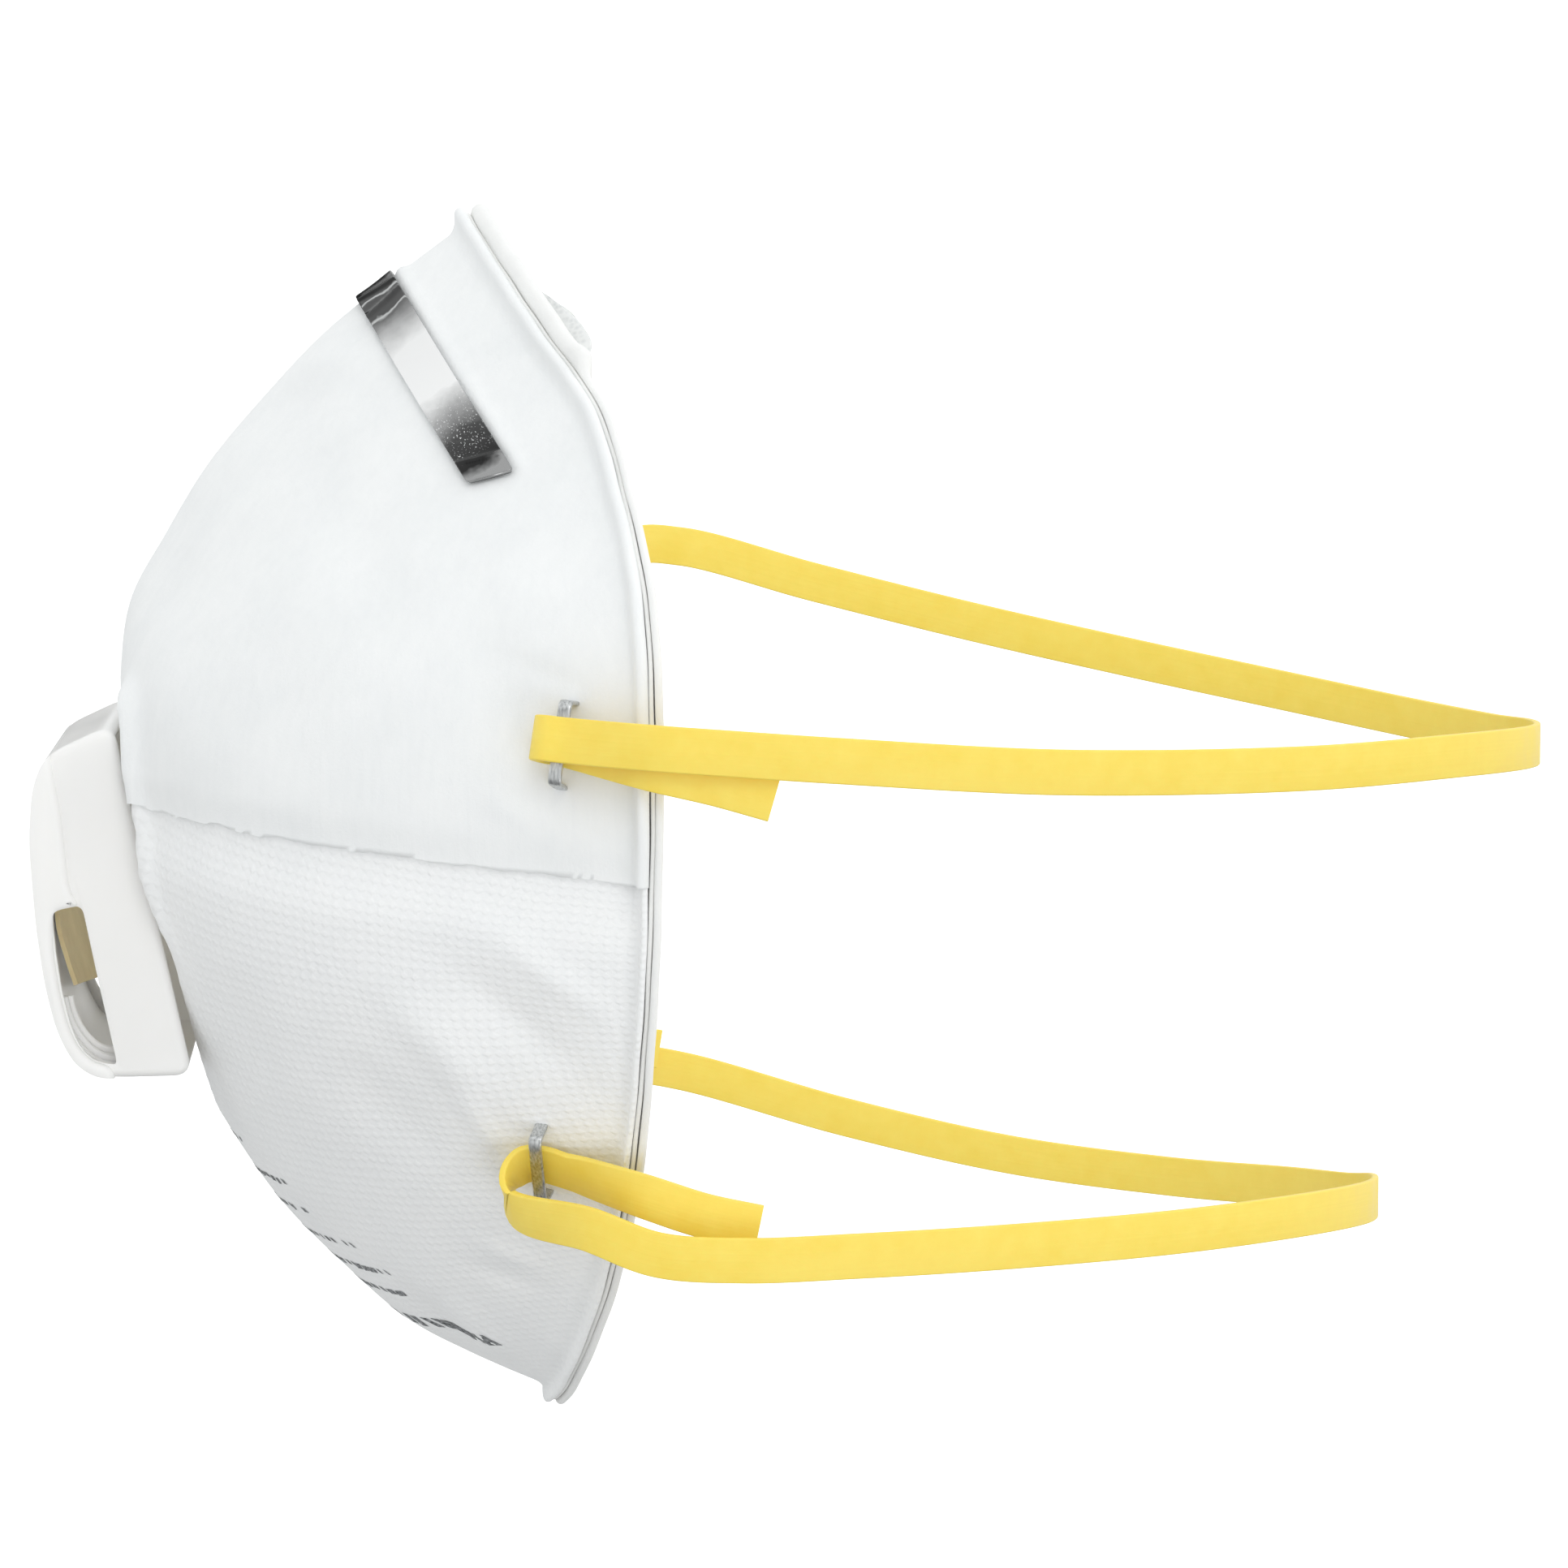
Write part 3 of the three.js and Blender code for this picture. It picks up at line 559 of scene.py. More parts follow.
def crease_lift(points, creases):
    """How far the cloth stands off its moulded shape at each point."""
    lift = np.zeros(points.shape[:-1])
    for side in (1, -1):
        drift = 0 if side > 0 else 2.3
        on_side = smooth(1, 8, points[..., 0] * side)
        for start, end, width, rise in creases:
            a = np.array(start) + (0, drift)
            b = np.array(end) + (drift / 2, 0)
            flat = points[..., 1:] - a
            share = np.clip(flat @ (b - a) / ((b - a) @ (b - a)), 0, 1)
            away = np.linalg.norm(flat - share[..., None] * (b - a), axis=-1)
            fade = np.sin(math.pi * np.clip(share, 0.08, 0.92))
            lift += rise * fade * np.exp(-((away / width) ** 2)) * on_side
    return lift


def blank_scale(turn, s):
    """Places on the flat blank: the way along the cup from its front, spread in the turn's direction."""
    steps = np.linalg.norm(np.diff(outer_point(turn, s), axis=0), axis=-1)
    length = np.concatenate([np.zeros((1, turn.shape[1])), np.cumsum(steps, axis=0)])
    rim = edge(turn[0])
    angle = np.arctan2(rim[:, 2] - APEX_Z, rim[:, 0])
    return length, angle


def rim_wave(turn, seed):
    """Slight unevenness of a welded lip around the cup."""
    angle = 2 * math.pi * turn
    return 0.5 * np.sin(7 * angle + seed) + 0.35 * np.sin(17 * angle + 2 * seed) + 0.2 * np.sin(41 * angle)


def lip_rows(turn, root, lip, seed):
    """Rows of points from the cup's edge out along a lip, round its tip and back."""
    front, behind, reach, flare = lip
    out = edge_outward(turn)
    rim = edge(turn)
    waves = rim_wave(turn, seed)[:, None]
    from_nose = np.minimum(turn, 1 - turn)[:, None]
    spread = flare * smooth(FLARE_END + 0.008, FLARE_END - 0.004, from_nose)
    corner_fold = flare * np.exp(-(((from_nose - FLARE_END) / 0.006) ** 2))
    half = (behind - front + spread + 0.3 * corner_fold) / 2
    middle = front + half + 0.1 * waves
    far = reach - half + 0.15 * rim_wave(turn, seed + 1.7)[:, None] + 0.5 * spread + 0.7 * corner_fold

    def place(along, behind):
        return rim + out * along + TO_HEAD * behind

    corner = place(0.1, middle - half)
    shoulder = place(1.0, middle - half)
    rows = [(1 - t) ** 2 * root + 2 * t * (1 - t) * corner + t * t * shoulder
            for t in np.linspace(0.15, 1, 6)]
    rows += [place(1.0 + (far - 1.0) * t, middle - half) for t in (0.35, 0.7)]
    for angle in np.linspace(-90, 90, 7):
        turned = math.radians(angle)
        rows.append(place(far + half * math.cos(turned), middle + half * math.sin(turned)))
    rows.append(place(1.0, middle + half))
    rows.append(place(0.0, middle + half))
    return rows


def layer_grid(around, stations, depth_of, lift_of, lip, seed):
    """Points and blank places of one moulded layer's outer face and lip."""
    turns = np.arange(around) / around
    s = np.concatenate([[0.006], np.linspace(0.02, 0.985, stations)])
    turn, share = np.meshgrid(turns, s)
    base = outer_point(turn, share)
    depth = depth_of(base) - lift_of(base) * smooth(0.99, 0.93, share)
    surface = base - cup_normal(turn, share) * depth[..., None]
    length, angle = blank_scale(turn, share)
    rows = list(surface)
    reach = list(length)
    if lip:
        for row in lip_rows(turns, surface[-1], lip, seed):
            reach.append(reach[-1] + np.linalg.norm(row - rows[-1], axis=-1))
            rows.append(row)
    points = np.array(rows)
    reach = np.array(reach)
    blank = np.stack([reach * np.cos(angle), reach * np.sin(angle)], -1) * MM
    return points, blank


def collar_reach(points, grow):
    """How far points lie from the valve's middle, as a share of the way to the collar's hole."""
    along = (points - VALVE_CENTRE) @ VALVE_UP
    half = COLLAR_HALF + grow
    return ((np.abs(points[..., 0]) / half) ** 5 + (np.abs(along) / half) ** 5) ** 0.2


def with_clean_hole(points, grow):
    """Moves the points just outside the collar's hole onto its outline; also says which lie inside it."""
    reach = collar_reach(points, grow)
    inside = reach < 1
    beside = inside.copy()
    beside[1:] |= inside[:-1]
    beside[:-1] |= inside[1:]
    beside |= np.roll(beside, 1, axis=1) | np.roll(beside, -1, axis=1)
    shrink = np.where(beside & ~inside, 1 / np.maximum(reach, 1) - 1, 0)[..., None]
    up = ((points - VALVE_CENTRE) @ VALVE_UP)[..., None] * VALVE_UP
    return points + shrink * (points * (1.0, 0, 0) + up), inside


def seam_line(y):
    """Height of the seam, which falls from the front of the cup to its rim."""
    along = np.clip((y - SEAM_FRONT[0]) / (SEAM_RIM[0] - SEAM_FRONT[0]), 0, 1)
    return SEAM_FRONT[1] + (SEAM_RIM[1] - SEAM_FRONT[1]) * along


def shift_by_seam(work, sign, roughness):
    """Moves a mesh up or down by the seam's height, with the unevenness of its cut edge."""
    for vertex in work.verts:
        x, y = vertex.co.x / MM, vertex.co.y / MM
        fine = noise.noise(Vector((x * 1.4, y * 1.4, 3.1)))
        coarse = noise.noise(Vector((x * 0.33, y * 0.33, 8.7)))
        vertex.co.z += sign * (float(seam_line(y)) + roughness * (0.35 * fine + 0.6 * coarse)) * MM


def trimmed(made, height, keep_above, roughness):
    """Cuts a layer along the seam, or a given height above it, and keeps one side."""
    with editing(made) as work:
        shift_by_seam(work, -1, roughness)
        everything = work.verts[:] + work.edges[:] + work.faces[:]
        bmesh.ops.bisect_plane(work, geom=everything, plane_co=(0, 0, height * MM), plane_no=(0, 0, 1),
                               clear_inner=keep_above, clear_outer=not keep_above)
        shift_by_seam(work, 1, roughness)
    return made


def cloth_layer(name, around, stations, depth_of, lift_of, lip, seed, hole=0.0):
    """The outer face of one moulded layer, with the hole for the valve's collar left out."""
    points, blank = layer_grid(around, stations, depth_of, lift_of, lip, seed)
    rows = len(points)
    points, inside = with_clean_hole(points, hole)
    inside = inside.ravel()
    faces = [f for f in grid_faces(rows, around) if not any(inside[v] for v in f)]
    if not inside[0]:
        faces.append(tuple(range(around))[::-1])
    made = new_object(name, points.reshape(-1, 3), faces, blank.reshape(-1, 2))
    with editing(made) as work:
        loose = [v for v in work.verts if not v.link_faces]
        bmesh.ops.delete(work, geom=loose, context="VERTS")
    return made


def thickened(made, thickness):
    """Gives the cloth its thickness, inwards."""
    facing_head = sum(face.normal.y * face.area for face in made.data.polygons)
    offset = -1.0 if facing_head < 0 else 1.0
    return with_modifier(made, "SOLIDIFY", thickness=thickness * MM, offset=offset)


def blank_size(made):
    """Width, length and area of the flat cloth that a layer was cut from, in metres."""
    mesh = made.data
    uv = np.empty(len(mesh.loops) * 2)
    mesh.uv_layers["blank"].data.foreach_get("uv", uv)
    uv = uv.reshape(-1, 2)
    area = 0.0
    for face in mesh.polygons:
        ring = uv[face.loop_indices]
        ahead = np.roll(ring, -1, axis=0)
        area += abs(np.sum(ring[:, 0] * ahead[:, 1] - ring[:, 1] * ahead[:, 0])) / 2
    width, length = uv.max(axis=0) - uv.min(axis=0)
    return (float(width), float(length)), float(area)


def dressed(made, thickness, cloth, slot, cad_node):
    flat, area = blank_size(made)
    thickened(made, thickness)
    finished(made, cloth, "mask", slot, cad_node)


def above_seam(points):
    return points[..., 2] - seam_line(points[..., 1])


def lap_depth(points):
    return LAP * smooth(-8, -1.5, above_seam(points))


def valve_swell(points):
    """The cloth stands up in a soft shoulder along the valve's upper sides."""
    along = (points - VALVE_CENTRE) @ VALVE_UP
    beside = smooth(-10, 6, along) * smooth(27, 21, along) * smooth(8, 15, np.abs(points[..., 0]))
    return 1.7 * np.exp(-(((flat_reach(points) - 1.0) / 0.055) ** 2)) * beside


def upper_lift(points):
    tuck = -0.38 * smooth(4.0, 0.0, above_seam(points))
    behind_clip = points @ CLIP_NORMAL - CLIP_LEVEL - CLIP_HALF - 0.9
    ridge = 0.5 * np.exp(-((behind_clip / 0.7) ** 2)) * smooth(37, 33, np.abs(points[..., 0]))
    ridge = ridge * smooth(30, 42, points[..., 2])
    return crease_lift(points, UPPER_CREASES) + tuck + ridge + valve_swell(points)


def lower_lift(points):
    return crease_lift(points, LOWER_CREASES) + valve_swell(points)


def level(depth):
    return lambda points: np.full(points.shape[:-1], depth)


upper_web = cloth_layer("upper_web", 480, 130, level(0), upper_lift, UPPER_LIP, 0.4)
trimmed(upper_web, 0, True, 0.6)
dressed(upper_web, CLOTH, upper_cloth, "upper_web", "upper_cover_web")

lower_web = cloth_layer("lower_web", 480, 120, lap_depth, lower_lift, LOWER_LIP, 0.4)
trimmed(lower_web, LAP_WIDTH, False, 0.5)
dressed(lower_web, CLOTH, lower_cloth, "lower_web", "lower_cover_web")

filter_core = cloth_layer("filter_core", 120, 40, level(1.6), level(0), None, 0)
dressed(filter_core, 0.4, hidden_cloth, "filter", "filter_layer")

shell_core = cloth_layer("shell_core", 240, 50, level(2.3), level(0), SHELL_LIP, 2.1)
finished(thickened(shell_core, 0.5), hidden_cloth, "mask", "shell", "shaping_shell")


def inner_lift(points):
    """The face side keeps a faint print of the moulding screen's ribs."""
    return 0.12 * np.sin(points[..., 2] * 0.9) * smooth(0, 20, np.abs(points[..., 0]))


inner_web = cloth_layer("inner_web", 360, 90, level(3.3), inner_lift, INNER_LIP, 3.3, hole=0.5)
dressed(inner_web, 0.3, inner_cloth, "inner_web", "inner_cover_web")


# ---- nose clip and foam ----

def on_level(turn, height):
    """How far out along the cup a level of the clip's plane lies, at each turn."""
    low = np.full_like(turn, 0.3)
    high = np.ones_like(turn)
    for _ in range(24):
        middle = (low + high) / 2
        under = cup_point(turn, middle) @ CLIP_NORMAL < height
        low = np.where(under, middle, low)
        high = np.where(under, high, middle)
    return (low + high) / 2


def clip_creases(share, across):
    """Height of the bends and dents that fitting the clip has left, by the way along it."""
    height = np.zeros_like(share)
    for place, slant, width, rise in [
        (-0.86, 0.01, 0.01, -0.2), (-0.52, 0.015, 0.016, -0.16), (-0.2, -0.01, 0.014, 0.18),
        (0.09, 0.014, 0.009, 0.34), (0.17, -0.016, 0.009, 0.3), (0.24, 0.01, 0.02, -0.1),
        (0.47, 0.014, 0.012, 0.2), (0.66, -0.02, 0.007, 0.12), (0.7, 0.02, 0.007, -0.16),
        (0.735, -0.024, 0.006, 0.14), (0.77, 0.02, 0.007, -0.14), (0.8, -0.02, 0.006, 0.16),
        (0.84, 0.016, 0.007, -0.16), (0.93, 0.004, 0.012, 0.42),
    ]:
        height += rise * np.exp(-(((share - place - slant * across) / width) ** 2))
    return height


def nose_clip():
    share = np.linspace(-1, 1, 421)
    turn = CLIP_TURN * share
    outline = [(-1, -0.1), (-0.985, 0.12), (-0.93, 0.2)]
    outline += [(x, 0.22) for x in (-0.6, -0.2, 0.2, 0.6)]
    outline += [(0.93, 0.2), (0.985, 0.12), (1, -0.1), (0.93, -0.25)]
    outline += [(x, -0.25) for x in (0.5, 0.0, -0.5, -0.93)]
    ends = smooth(1.0, 0.985, np.abs(share))
    columns = []
    for across, rise in outline:
        narrow = CLIP_HALF * (1 - 0.1 * (1 - ends))
        s = on_level(turn, CLIP_LEVEL + across * narrow)
        dish = 0.1 * across**2
        bent = clip_creases(share, across) if rise > 0 else 0.5 * clip_creases(share, across)
        columns.append(cup_point(turn, s, -(0.6 + rise + dish + 0.7 * bent * ends)))
    sections = np.stack(columns, 1)
    finished(swept("clip", list(sections)), aluminium, "mask", "clip_aluminium", "nose_clip")


def nose_foam():
    """A soft strip inside the nose; its rear edge stands up behind the rim near the middle."""
    share = np.linspace(-1, 1, 101)
    turn = FOAM_TURN * share
    ease = 1 - 0.5 * np.abs(share) ** 6
    stands = smooth(0.68, 0.5, np.abs(share))
    rim, out = edge(turn), edge_outward(turn)
    thick = 3.9 + 1.6 * smooth(0.1, 0.25, np.abs(share)) + 3.3 * smooth(0.25, 0.48, np.abs(share))
    front_outer = cup_point(turn, FOAM_FRONT, FOAM_DEPTH)
    front_inner = cup_point(turn, FOAM_FRONT, FOAM_DEPTH + 4.5 * ease)
    back_outer = rim - out * 2.6 + TO_HEAD * (1.6 + 2.5 * stands)[:, None]
    sunk = -6.2 + 5.6 * stands
    back_inner = rim + out * sunk[:, None] + TO_HEAD * (1.8 + (thick - 1.8) * stands)[:, None]
    columns = []
    for angle in np.linspace(0, 2 * math.pi, 32, endpoint=False):
        x, y = squarish(angle, 0.4, 0.4)
        outer = front_outer * (1 - x) / 2 + back_outer * (1 + x) / 2
        inner = front_inner * (1 - x) / 2 + back_inner * (1 + x) / 2
        wobble = 0.18 * np.sin(share * 31 + 3 * x) + 0.12 * np.sin(share * 57 + 2 * y)
        column = outer * (1 - y) / 2 + inner * (1 + y) / 2
        columns.append(column + TO_HEAD * (wobble * (0.5 + 0.5 * y))[:, None])
    made = swept("foam", list(np.stack(columns, 1)))
    finished(made, foam_cells, "mask", "foam", "nose_foam")


nose_clip()
nose_foam()


# ---- valve ----

COVER_SIDE = [
    (-20, 0.6), (20.3, 0.6), (18.5, 8.5), (15.4, 10.7), (9.5, 12.4), (0.3, 13.7), (-6, 14.2), (-11.5, 14.1),
    (-15.5, 13.1), (-17.6, 11.2), (-18.4, 8.8),
]
COVER_ROOM = [
    (-18.8, 0), (19.3, 0), (17.3, 7.2), (13.5, 8.9), (7.2, 11), (0.2, 12.3), (-6, 12.9), (-11, 12.8),
    (-14.7, 11.9), (-16.4, 10.4), (-17.2, 8.4),
]
WINDOW = [
    (1.3, 8.3), (1.5, 10.2), (1.3, 11.7), (-3, 12.3), (-7.5, 12.6), (-11.6, 12.5), (-14.2, 12),
    (-15.9, 10.9), (-16.7, 9.2), (-16.9, 8.4), (-8, 8.4),
]
FRONT_PANEL = [
    (19.5, 8), (15.7, 8.2), (12, 8.3), (7.5, 8.8), (4.4, 9.2), (2.6, 9.1), (1.5, 8.6), (1.2, 9.6),
    (1.2, 11.6), (-3, 12.5), (-7.5, 12.8), (-11.6, 12.7), (-14.2, 12.1), (-16, 10.9), (-16.9, 9),
    (-19.5, 9), (-19.5, 16), (19.5, 16),
]
HINGE = np.array([13.6, 6.6])
FLAP_LINE = [(13.6, 6.6), (10, 8.4), (5, 10.3), (0, 11.3), (-4.5, 11.5), (-9, 11.0)]
FLAP_HUNG = [(13.6, 6.6), (9.3, 8.8), (4, 10.5), (-1.9, 11.4), (-6.2, 11.1), (-9.5, 10.7)]
FLAP_HALF = 13
COVER_HALF = 18
FLANGE_HALF = 18.6
TONGUE = 14.6
STEP_WIDE = 0.75
BAR_SECTION = [(-0.5, -2.6), (0.5, -2.6), (0.5, -0.6), (-0.5, -0.6)]
SEAT_SWING = math.radians(22)


def valve_place(x, up, out):
    """A point given by its width, height and reach on the valve's flat."""
    across, rise, reach = (np.asarray(value, float)[..., None] for value in (x, up, out))
    return VALVE_CENTRE + across * (1.0, 0, 0) + rise * VALVE_UP + reach * VALVE_OUT


def rounded(outline, radius, steps=6):
    """The outline with each corner replaced by an arc-like curve."""
    outline = np.asarray(outline, float)
    result = []
    for i, corner in enumerate(outline):
        before, after = outline[i - 1], outline[(i + 1) % len(outline)]
        room_in = min(radius, 0.45 * np.linalg.norm(before - corner))
        room_out = min(radius, 0.45 * np.linalg.norm(after - corner))
        start = corner + unit(before - corner) * room_in
        end = corner + unit(after - corner) * room_out
        for t in np.linspace(0, 1, steps):
            result.append((1 - t) ** 2 * start + 2 * t * (1 - t) * corner + t * t * end)
    return np.array(result)


def inset(outline, distance):
    """The outline moved inwards."""
    ahead = np.roll(outline, -1, axis=0) - np.roll(outline, 1, axis=0)
    area = np.sum(outline[:, 0] * np.roll(outline[:, 1], -1) - outline[:, 1] * np.roll(outline[:, 0], -1))
    inward = unit(np.stack([-ahead[:, 1], ahead[:, 0]], -1)) * (1 if area > 0 else -1)
    return outline + inward * distance


def rim_arc(radius, first):
    """Steps round a rim from an angle in degrees up to 90: each one's run from the end and its drop."""
    angles = np.radians(np.linspace(first, 90, 5))
    return [(radius * (1 - math.sin(a)), radius * (1 - math.cos(a))) for a in angles]


def side_block(name, outline, low, high, radius=0.0):
    """A side outline run across the valve's width, with rounded rims."""
    stops = [(low, 0.0), (high, 0.0)]
    if radius:
        near = rim_arc(radius, 0)
        stops = [(low + run, drop) for run, drop in near[::-1]] + [(high - run, drop) for run, drop in near]
    return swept(name, [valve_place(x, *inset(outline, drop).T) for x, drop in stops])


def plan_block(name, outline, low, high, radius=0.0):
    """A plan outline on the valve's flat, raised from one height to another."""
    stops = [(low, 0.0), (high - radius, 0.0)]
    if radius:
        stops += [(high - run, drop) for run, drop in rim_arc(radius, 15)]
    return swept(name, [valve_place(*inset(outline, drop).T, out) for out, drop in stops])


def rounded_square(half, radius, steps=8):
    return rounded([(half, half), (-half, half), (-half, -half), (half, -half)], radius * 1.3, steps)


def flange_outline():
    """Square at the top with round corners, and a blunt tongue below."""
    top = rounded([(FLANGE_HALF, -10), (FLANGE_HALF, 21.8), (-FLANGE_HALF, 21.8), (-FLANGE_HALF, -10)], 5)
    tongue = []
    for angle in np.linspace(math.pi, 2 * math.pi, 40):
        x, y = squarish(angle, 0.6, 0.6)
        tongue.append((FLANGE_HALF * x, -10 + TONGUE * y))
    return np.concatenate([top[top[:, 1] > -6], np.array(tongue)])


def swung_in(points, angle):
    rise, reach = (np.asarray(points) - HINGE).T
    return np.stack([HINGE[0] + rise * math.cos(angle) - reach * math.sin(angle),
                     HINGE[1] + reach * math.cos(angle) + rise * math.sin(angle)], -1)


def softened(made, width, segments=3, angle=35):
    return with_modifier(made, "BEVEL", width=width * MM, segments=segments, limit_method="ANGLE",
                         angle_limit=math.radians(angle), use_clamp_overlap=True)


def auto_smooth(made, angle=40):
    """Keeps real edges crisp while curved faces shade smoothly."""
    made.data.shade_smooth()
    made.data.set_sharp_from_angle(angle=math.radians(angle))


def valve_cover():
    side = rounded(COVER_SIDE, 2.2, 7)
    made = side_block("cover", side, -COVER_HALF, COVER_HALF, 0.9)
    panel = side_block("panel", rounded(FRONT_PANEL, 1.2, 6), -COVER_HALF - 0.8, COVER_HALF + 0.8, 0.75)
    face = side_block("face", inset(side, -0.02), -COVER_HALF - 1, COVER_HALF + 1)
    cut(panel, face, operation="INTERSECT")
    cut(made, panel, operation="UNION")
    room = side_block("room", rounded(COVER_ROOM, 1.8, 6), -COVER_HALF + 1.2, COVER_HALF - 1.2, 0.6)
    window = side_block("window", rounded(WINDOW, 1.0, 5), -COVER_HALF - 3, COVER_HALF + 3)
    cut(made, room, window)
    softened(made, 0.16, 2, 40)
    finished(made, cover_plastic, "mask", "valve_cover_plastic", "valve_cover")
    auto_smooth(made)


def window_steps():
    """Three steps moulded round the lower front corner inside each side window."""
    centre = np.array([-9.5, 8.2])
    outer = 8.3
    for side in (-1, 1):
        for step, reach in enumerate((7.3, 6.5, 5.7)):
            near_wall = COVER_HALF - 1.25 - STEP_WIDE * step
            outline = [(reach + 0.2, 0), (outer, 0), (outer, STEP_WIDE), (reach + 0.2, STEP_WIDE),
                       (reach, STEP_WIDE - 0.2), (reach, 0.2)]
            sections = []
            for a in np.linspace(math.radians(82), math.radians(188), 36):
                direction = np.array([math.cos(a), math.sin(a) * 0.62])
                sections.append(np.array([valve_place(side * (near_wall - x), *(centre + direction * far))
                                          for far, x in outline]))
            name = f"window_step_{'left' if side > 0 else 'right'}_{step}"
            made = finished(swept(name, sections), cover_plastic, "mask", "valve_cover_plastic")
            auto_smooth(made)


def valve_base():
    seat = swung_in(FLAP_LINE, SEAT_SWING) - (0, 0.6)
    low = seat[-1]
    wall = [(HINGE[0] - 1.4, seat[0][1] - 0.6), *seat[1:], (low[0] - 1.2, low[1]), (low[0] - 1.2, 0.6),
            (HINGE[0] - 1.4, 0.6)]
    made = plan_block("base", flange_outline(), -0.3, 0.58, 0.3)
    collar = plan_block("collar", rounded_square(COLLAR_HALF, 5), -4.6, 0.6)
    ring = plan_block("ring", rounded_square(13.0, 5.6), -4.75, -4.05, 0.25)
    tower = side_block("tower", np.array(wall, float), -12.2, 12.2)
    cut(made, collar, tower, ring, operation="UNION")
    cut(made, plan_block("bore", rounded_square(BORE_HALF, 4.2), -7, 14))
    softened(made, 0.2, 2, 40)
    finished(made, base_plastic, "mask", "valve_base_plastic", "valve_base")
    auto_smooth(made)
    for up in (-4.9, 0.0, 4.9):
        bar = side_block("bore_bar", rounded(BAR_SECTION, 0.4, 4) + (up, 0), -BORE_HALF, BORE_HALF)
        bar.name = f"bore_bar_{up:+.0f}".replace("+", "p").replace("-", "m")
        finished(bar, base_plastic, "mask", "valve_base_plastic")


def valve_flap():
    """A thin rubber leaf clamped at its top; it hangs open, twisted and slightly askew."""
    rows, columns = 41, 33
    line = spline(FLAP_HUNG, even_places(FLAP_HUNG, rows))
    ahead = unit(np.gradient(line, axis=0))
    side = np.stack([ahead[:, 1], -ahead[:, 0]], -1)
    across = np.linspace(-1, 1, columns)
    free = np.linspace(0, 1, rows)
    points = []
    for thick in (0.25, -0.25):
        for i in range(rows):
            twist = 0.7 * free[i] ** 1.5 * (across * 0.9 + 0.1)
            skew = 1.35 * free[i] ** 1.5 * across
            width = FLAP_HALF * across * (1 - 0.03 * smooth(0.9, 1, free[i]))
            place = line[i] + side[i] * thick
            points.append(valve_place(width, place[0] + 0.3 + skew, place[1] + twist))
    one_side = grid_faces(rows, columns, closed_columns=False)
    back = rows * columns
    faces = one_side + [tuple(v + back for v in face) for face in one_side]
    border = list(range(columns))
    border += [i * columns + columns - 1 for i in range(1, rows)]
    border += [(rows - 1) * columns + j for j in range(columns - 2, -1, -1)]
    border += [i * columns for i in range(rows - 2, 0, -1)]
    for here, after in zip(border, border[1:] + border[:1]):
        faces.append((here, after, after + back, here + back))
    made = facing_out(new_object("flap_leaf", np.concatenate(points), faces))
    finished(made, tan, "flap", "flap_rubber", "valve_flap")
    auto_smooth(made)


valve_cover()
window_steps()
valve_base()
valve_flap()


# ---- staples ----

def nearest(found, first_axis, first, height):
    """Index of the found point closest to a given place on one axis and a given height."""
    miss = np.hypot(found[..., first_axis] - first, found[..., 2] - height)
    return np.unravel_index(np.argmin(miss), miss.shape)


def side_spot(y, z):
    """The point of the cup's left side at a given depth and height, and its normal."""
    turn, s = np.meshgrid(np.arange(0.1, 0.45, 0.0025), np.arange(0.7, 1.0001, 0.0125), indexing="ij")
    found = cup_point(turn, s)
    best = nearest(found, 1, y, z)
    return found[best], cup_normal(turn[best], s[best])


@lru_cache(maxsize=None)
def staple_frame(level_name, side):
    """Origin, the crown's direction, the way out of the cup and the wire's width, for one staple."""
    point, normal = side_spot(*STAPLE_SPOTS[level_name])
    out = normal * (side, 1, 1)
    rise = np.array([0, 0.1, 1])
    along = unit(rise - out * (rise @ out))
    return point * (side, 1, 1), along, out, np.cross(along, out)


def staple(level_name, side):
    """Flat wire bent into a crown and two legs, with its ends folded in behind the cup."""
    origin, along, out, across = staple_frame(level_name, side)
    half, thick, wide = STAPLE_SPAN / 2 - 0.25, 0.25, 0.72
    path = [(-1.9, -4.25), (-half + 0.5, -4.3), (-half, -3.8), (-half, CROWN_TOP - 1.1),
            (-half + 0.12, CROWN_TOP - 0.55), (-half + 0.6, CROWN_TOP - 0.27), (-half / 2, CROWN_TOP - 0.2),
            (half / 2, CROWN_TOP - 0.2), (half - 0.6, CROWN_TOP - 0.27), (half - 0.12, CROWN_TOP - 0.55),
            (half, CROWN_TOP - 1.1), (half, -3.8), (half - 0.5, -4.3), (1.9, -4.25)]
    line = spline(path, even_places(path, 120))
    ahead = unit(np.gradient(line, axis=0))
    sections = []
    for (a, b), (da, db) in zip(line, ahead):
        ring = []
        for turned in np.linspace(0, 2 * math.pi, 16, endpoint=False):
            x, y = squarish(turned, 0.4, 0.5) * np.array([wide, thick])
            ring.append(origin + along * (a - db * y) + out * (b + da * y) + across * x)
        sections.append(np.array(ring))
    word = "left" if side > 0 else "right"
    wire = swept(f"wire_{level_name}_{word}", sections)
    finished(wire, steel, "mask", "staple_steel", f"staple_{level_name}_{word}")


for level_name in ("upper", "lower"):
    for side in (1, -1):
        staple(level_name, side)


# ---- straps ----

TAIL_OUT = 1.2
OVER_OUT = CROWN_TOP + 0.75


def near(level_name, side, out, back, up):
    """A stop given from its staple: how far out of the cup, towards the head and up the side."""
    origin, along, away, across = staple_frame(level_name, side)
    backward = across if across[1] > 0 else -across
    return origin + away * out + backward * back + along * up, along


def free(x, y, z):
    return np.array([x, y, z], float), np.array([0, 0, 1.0])


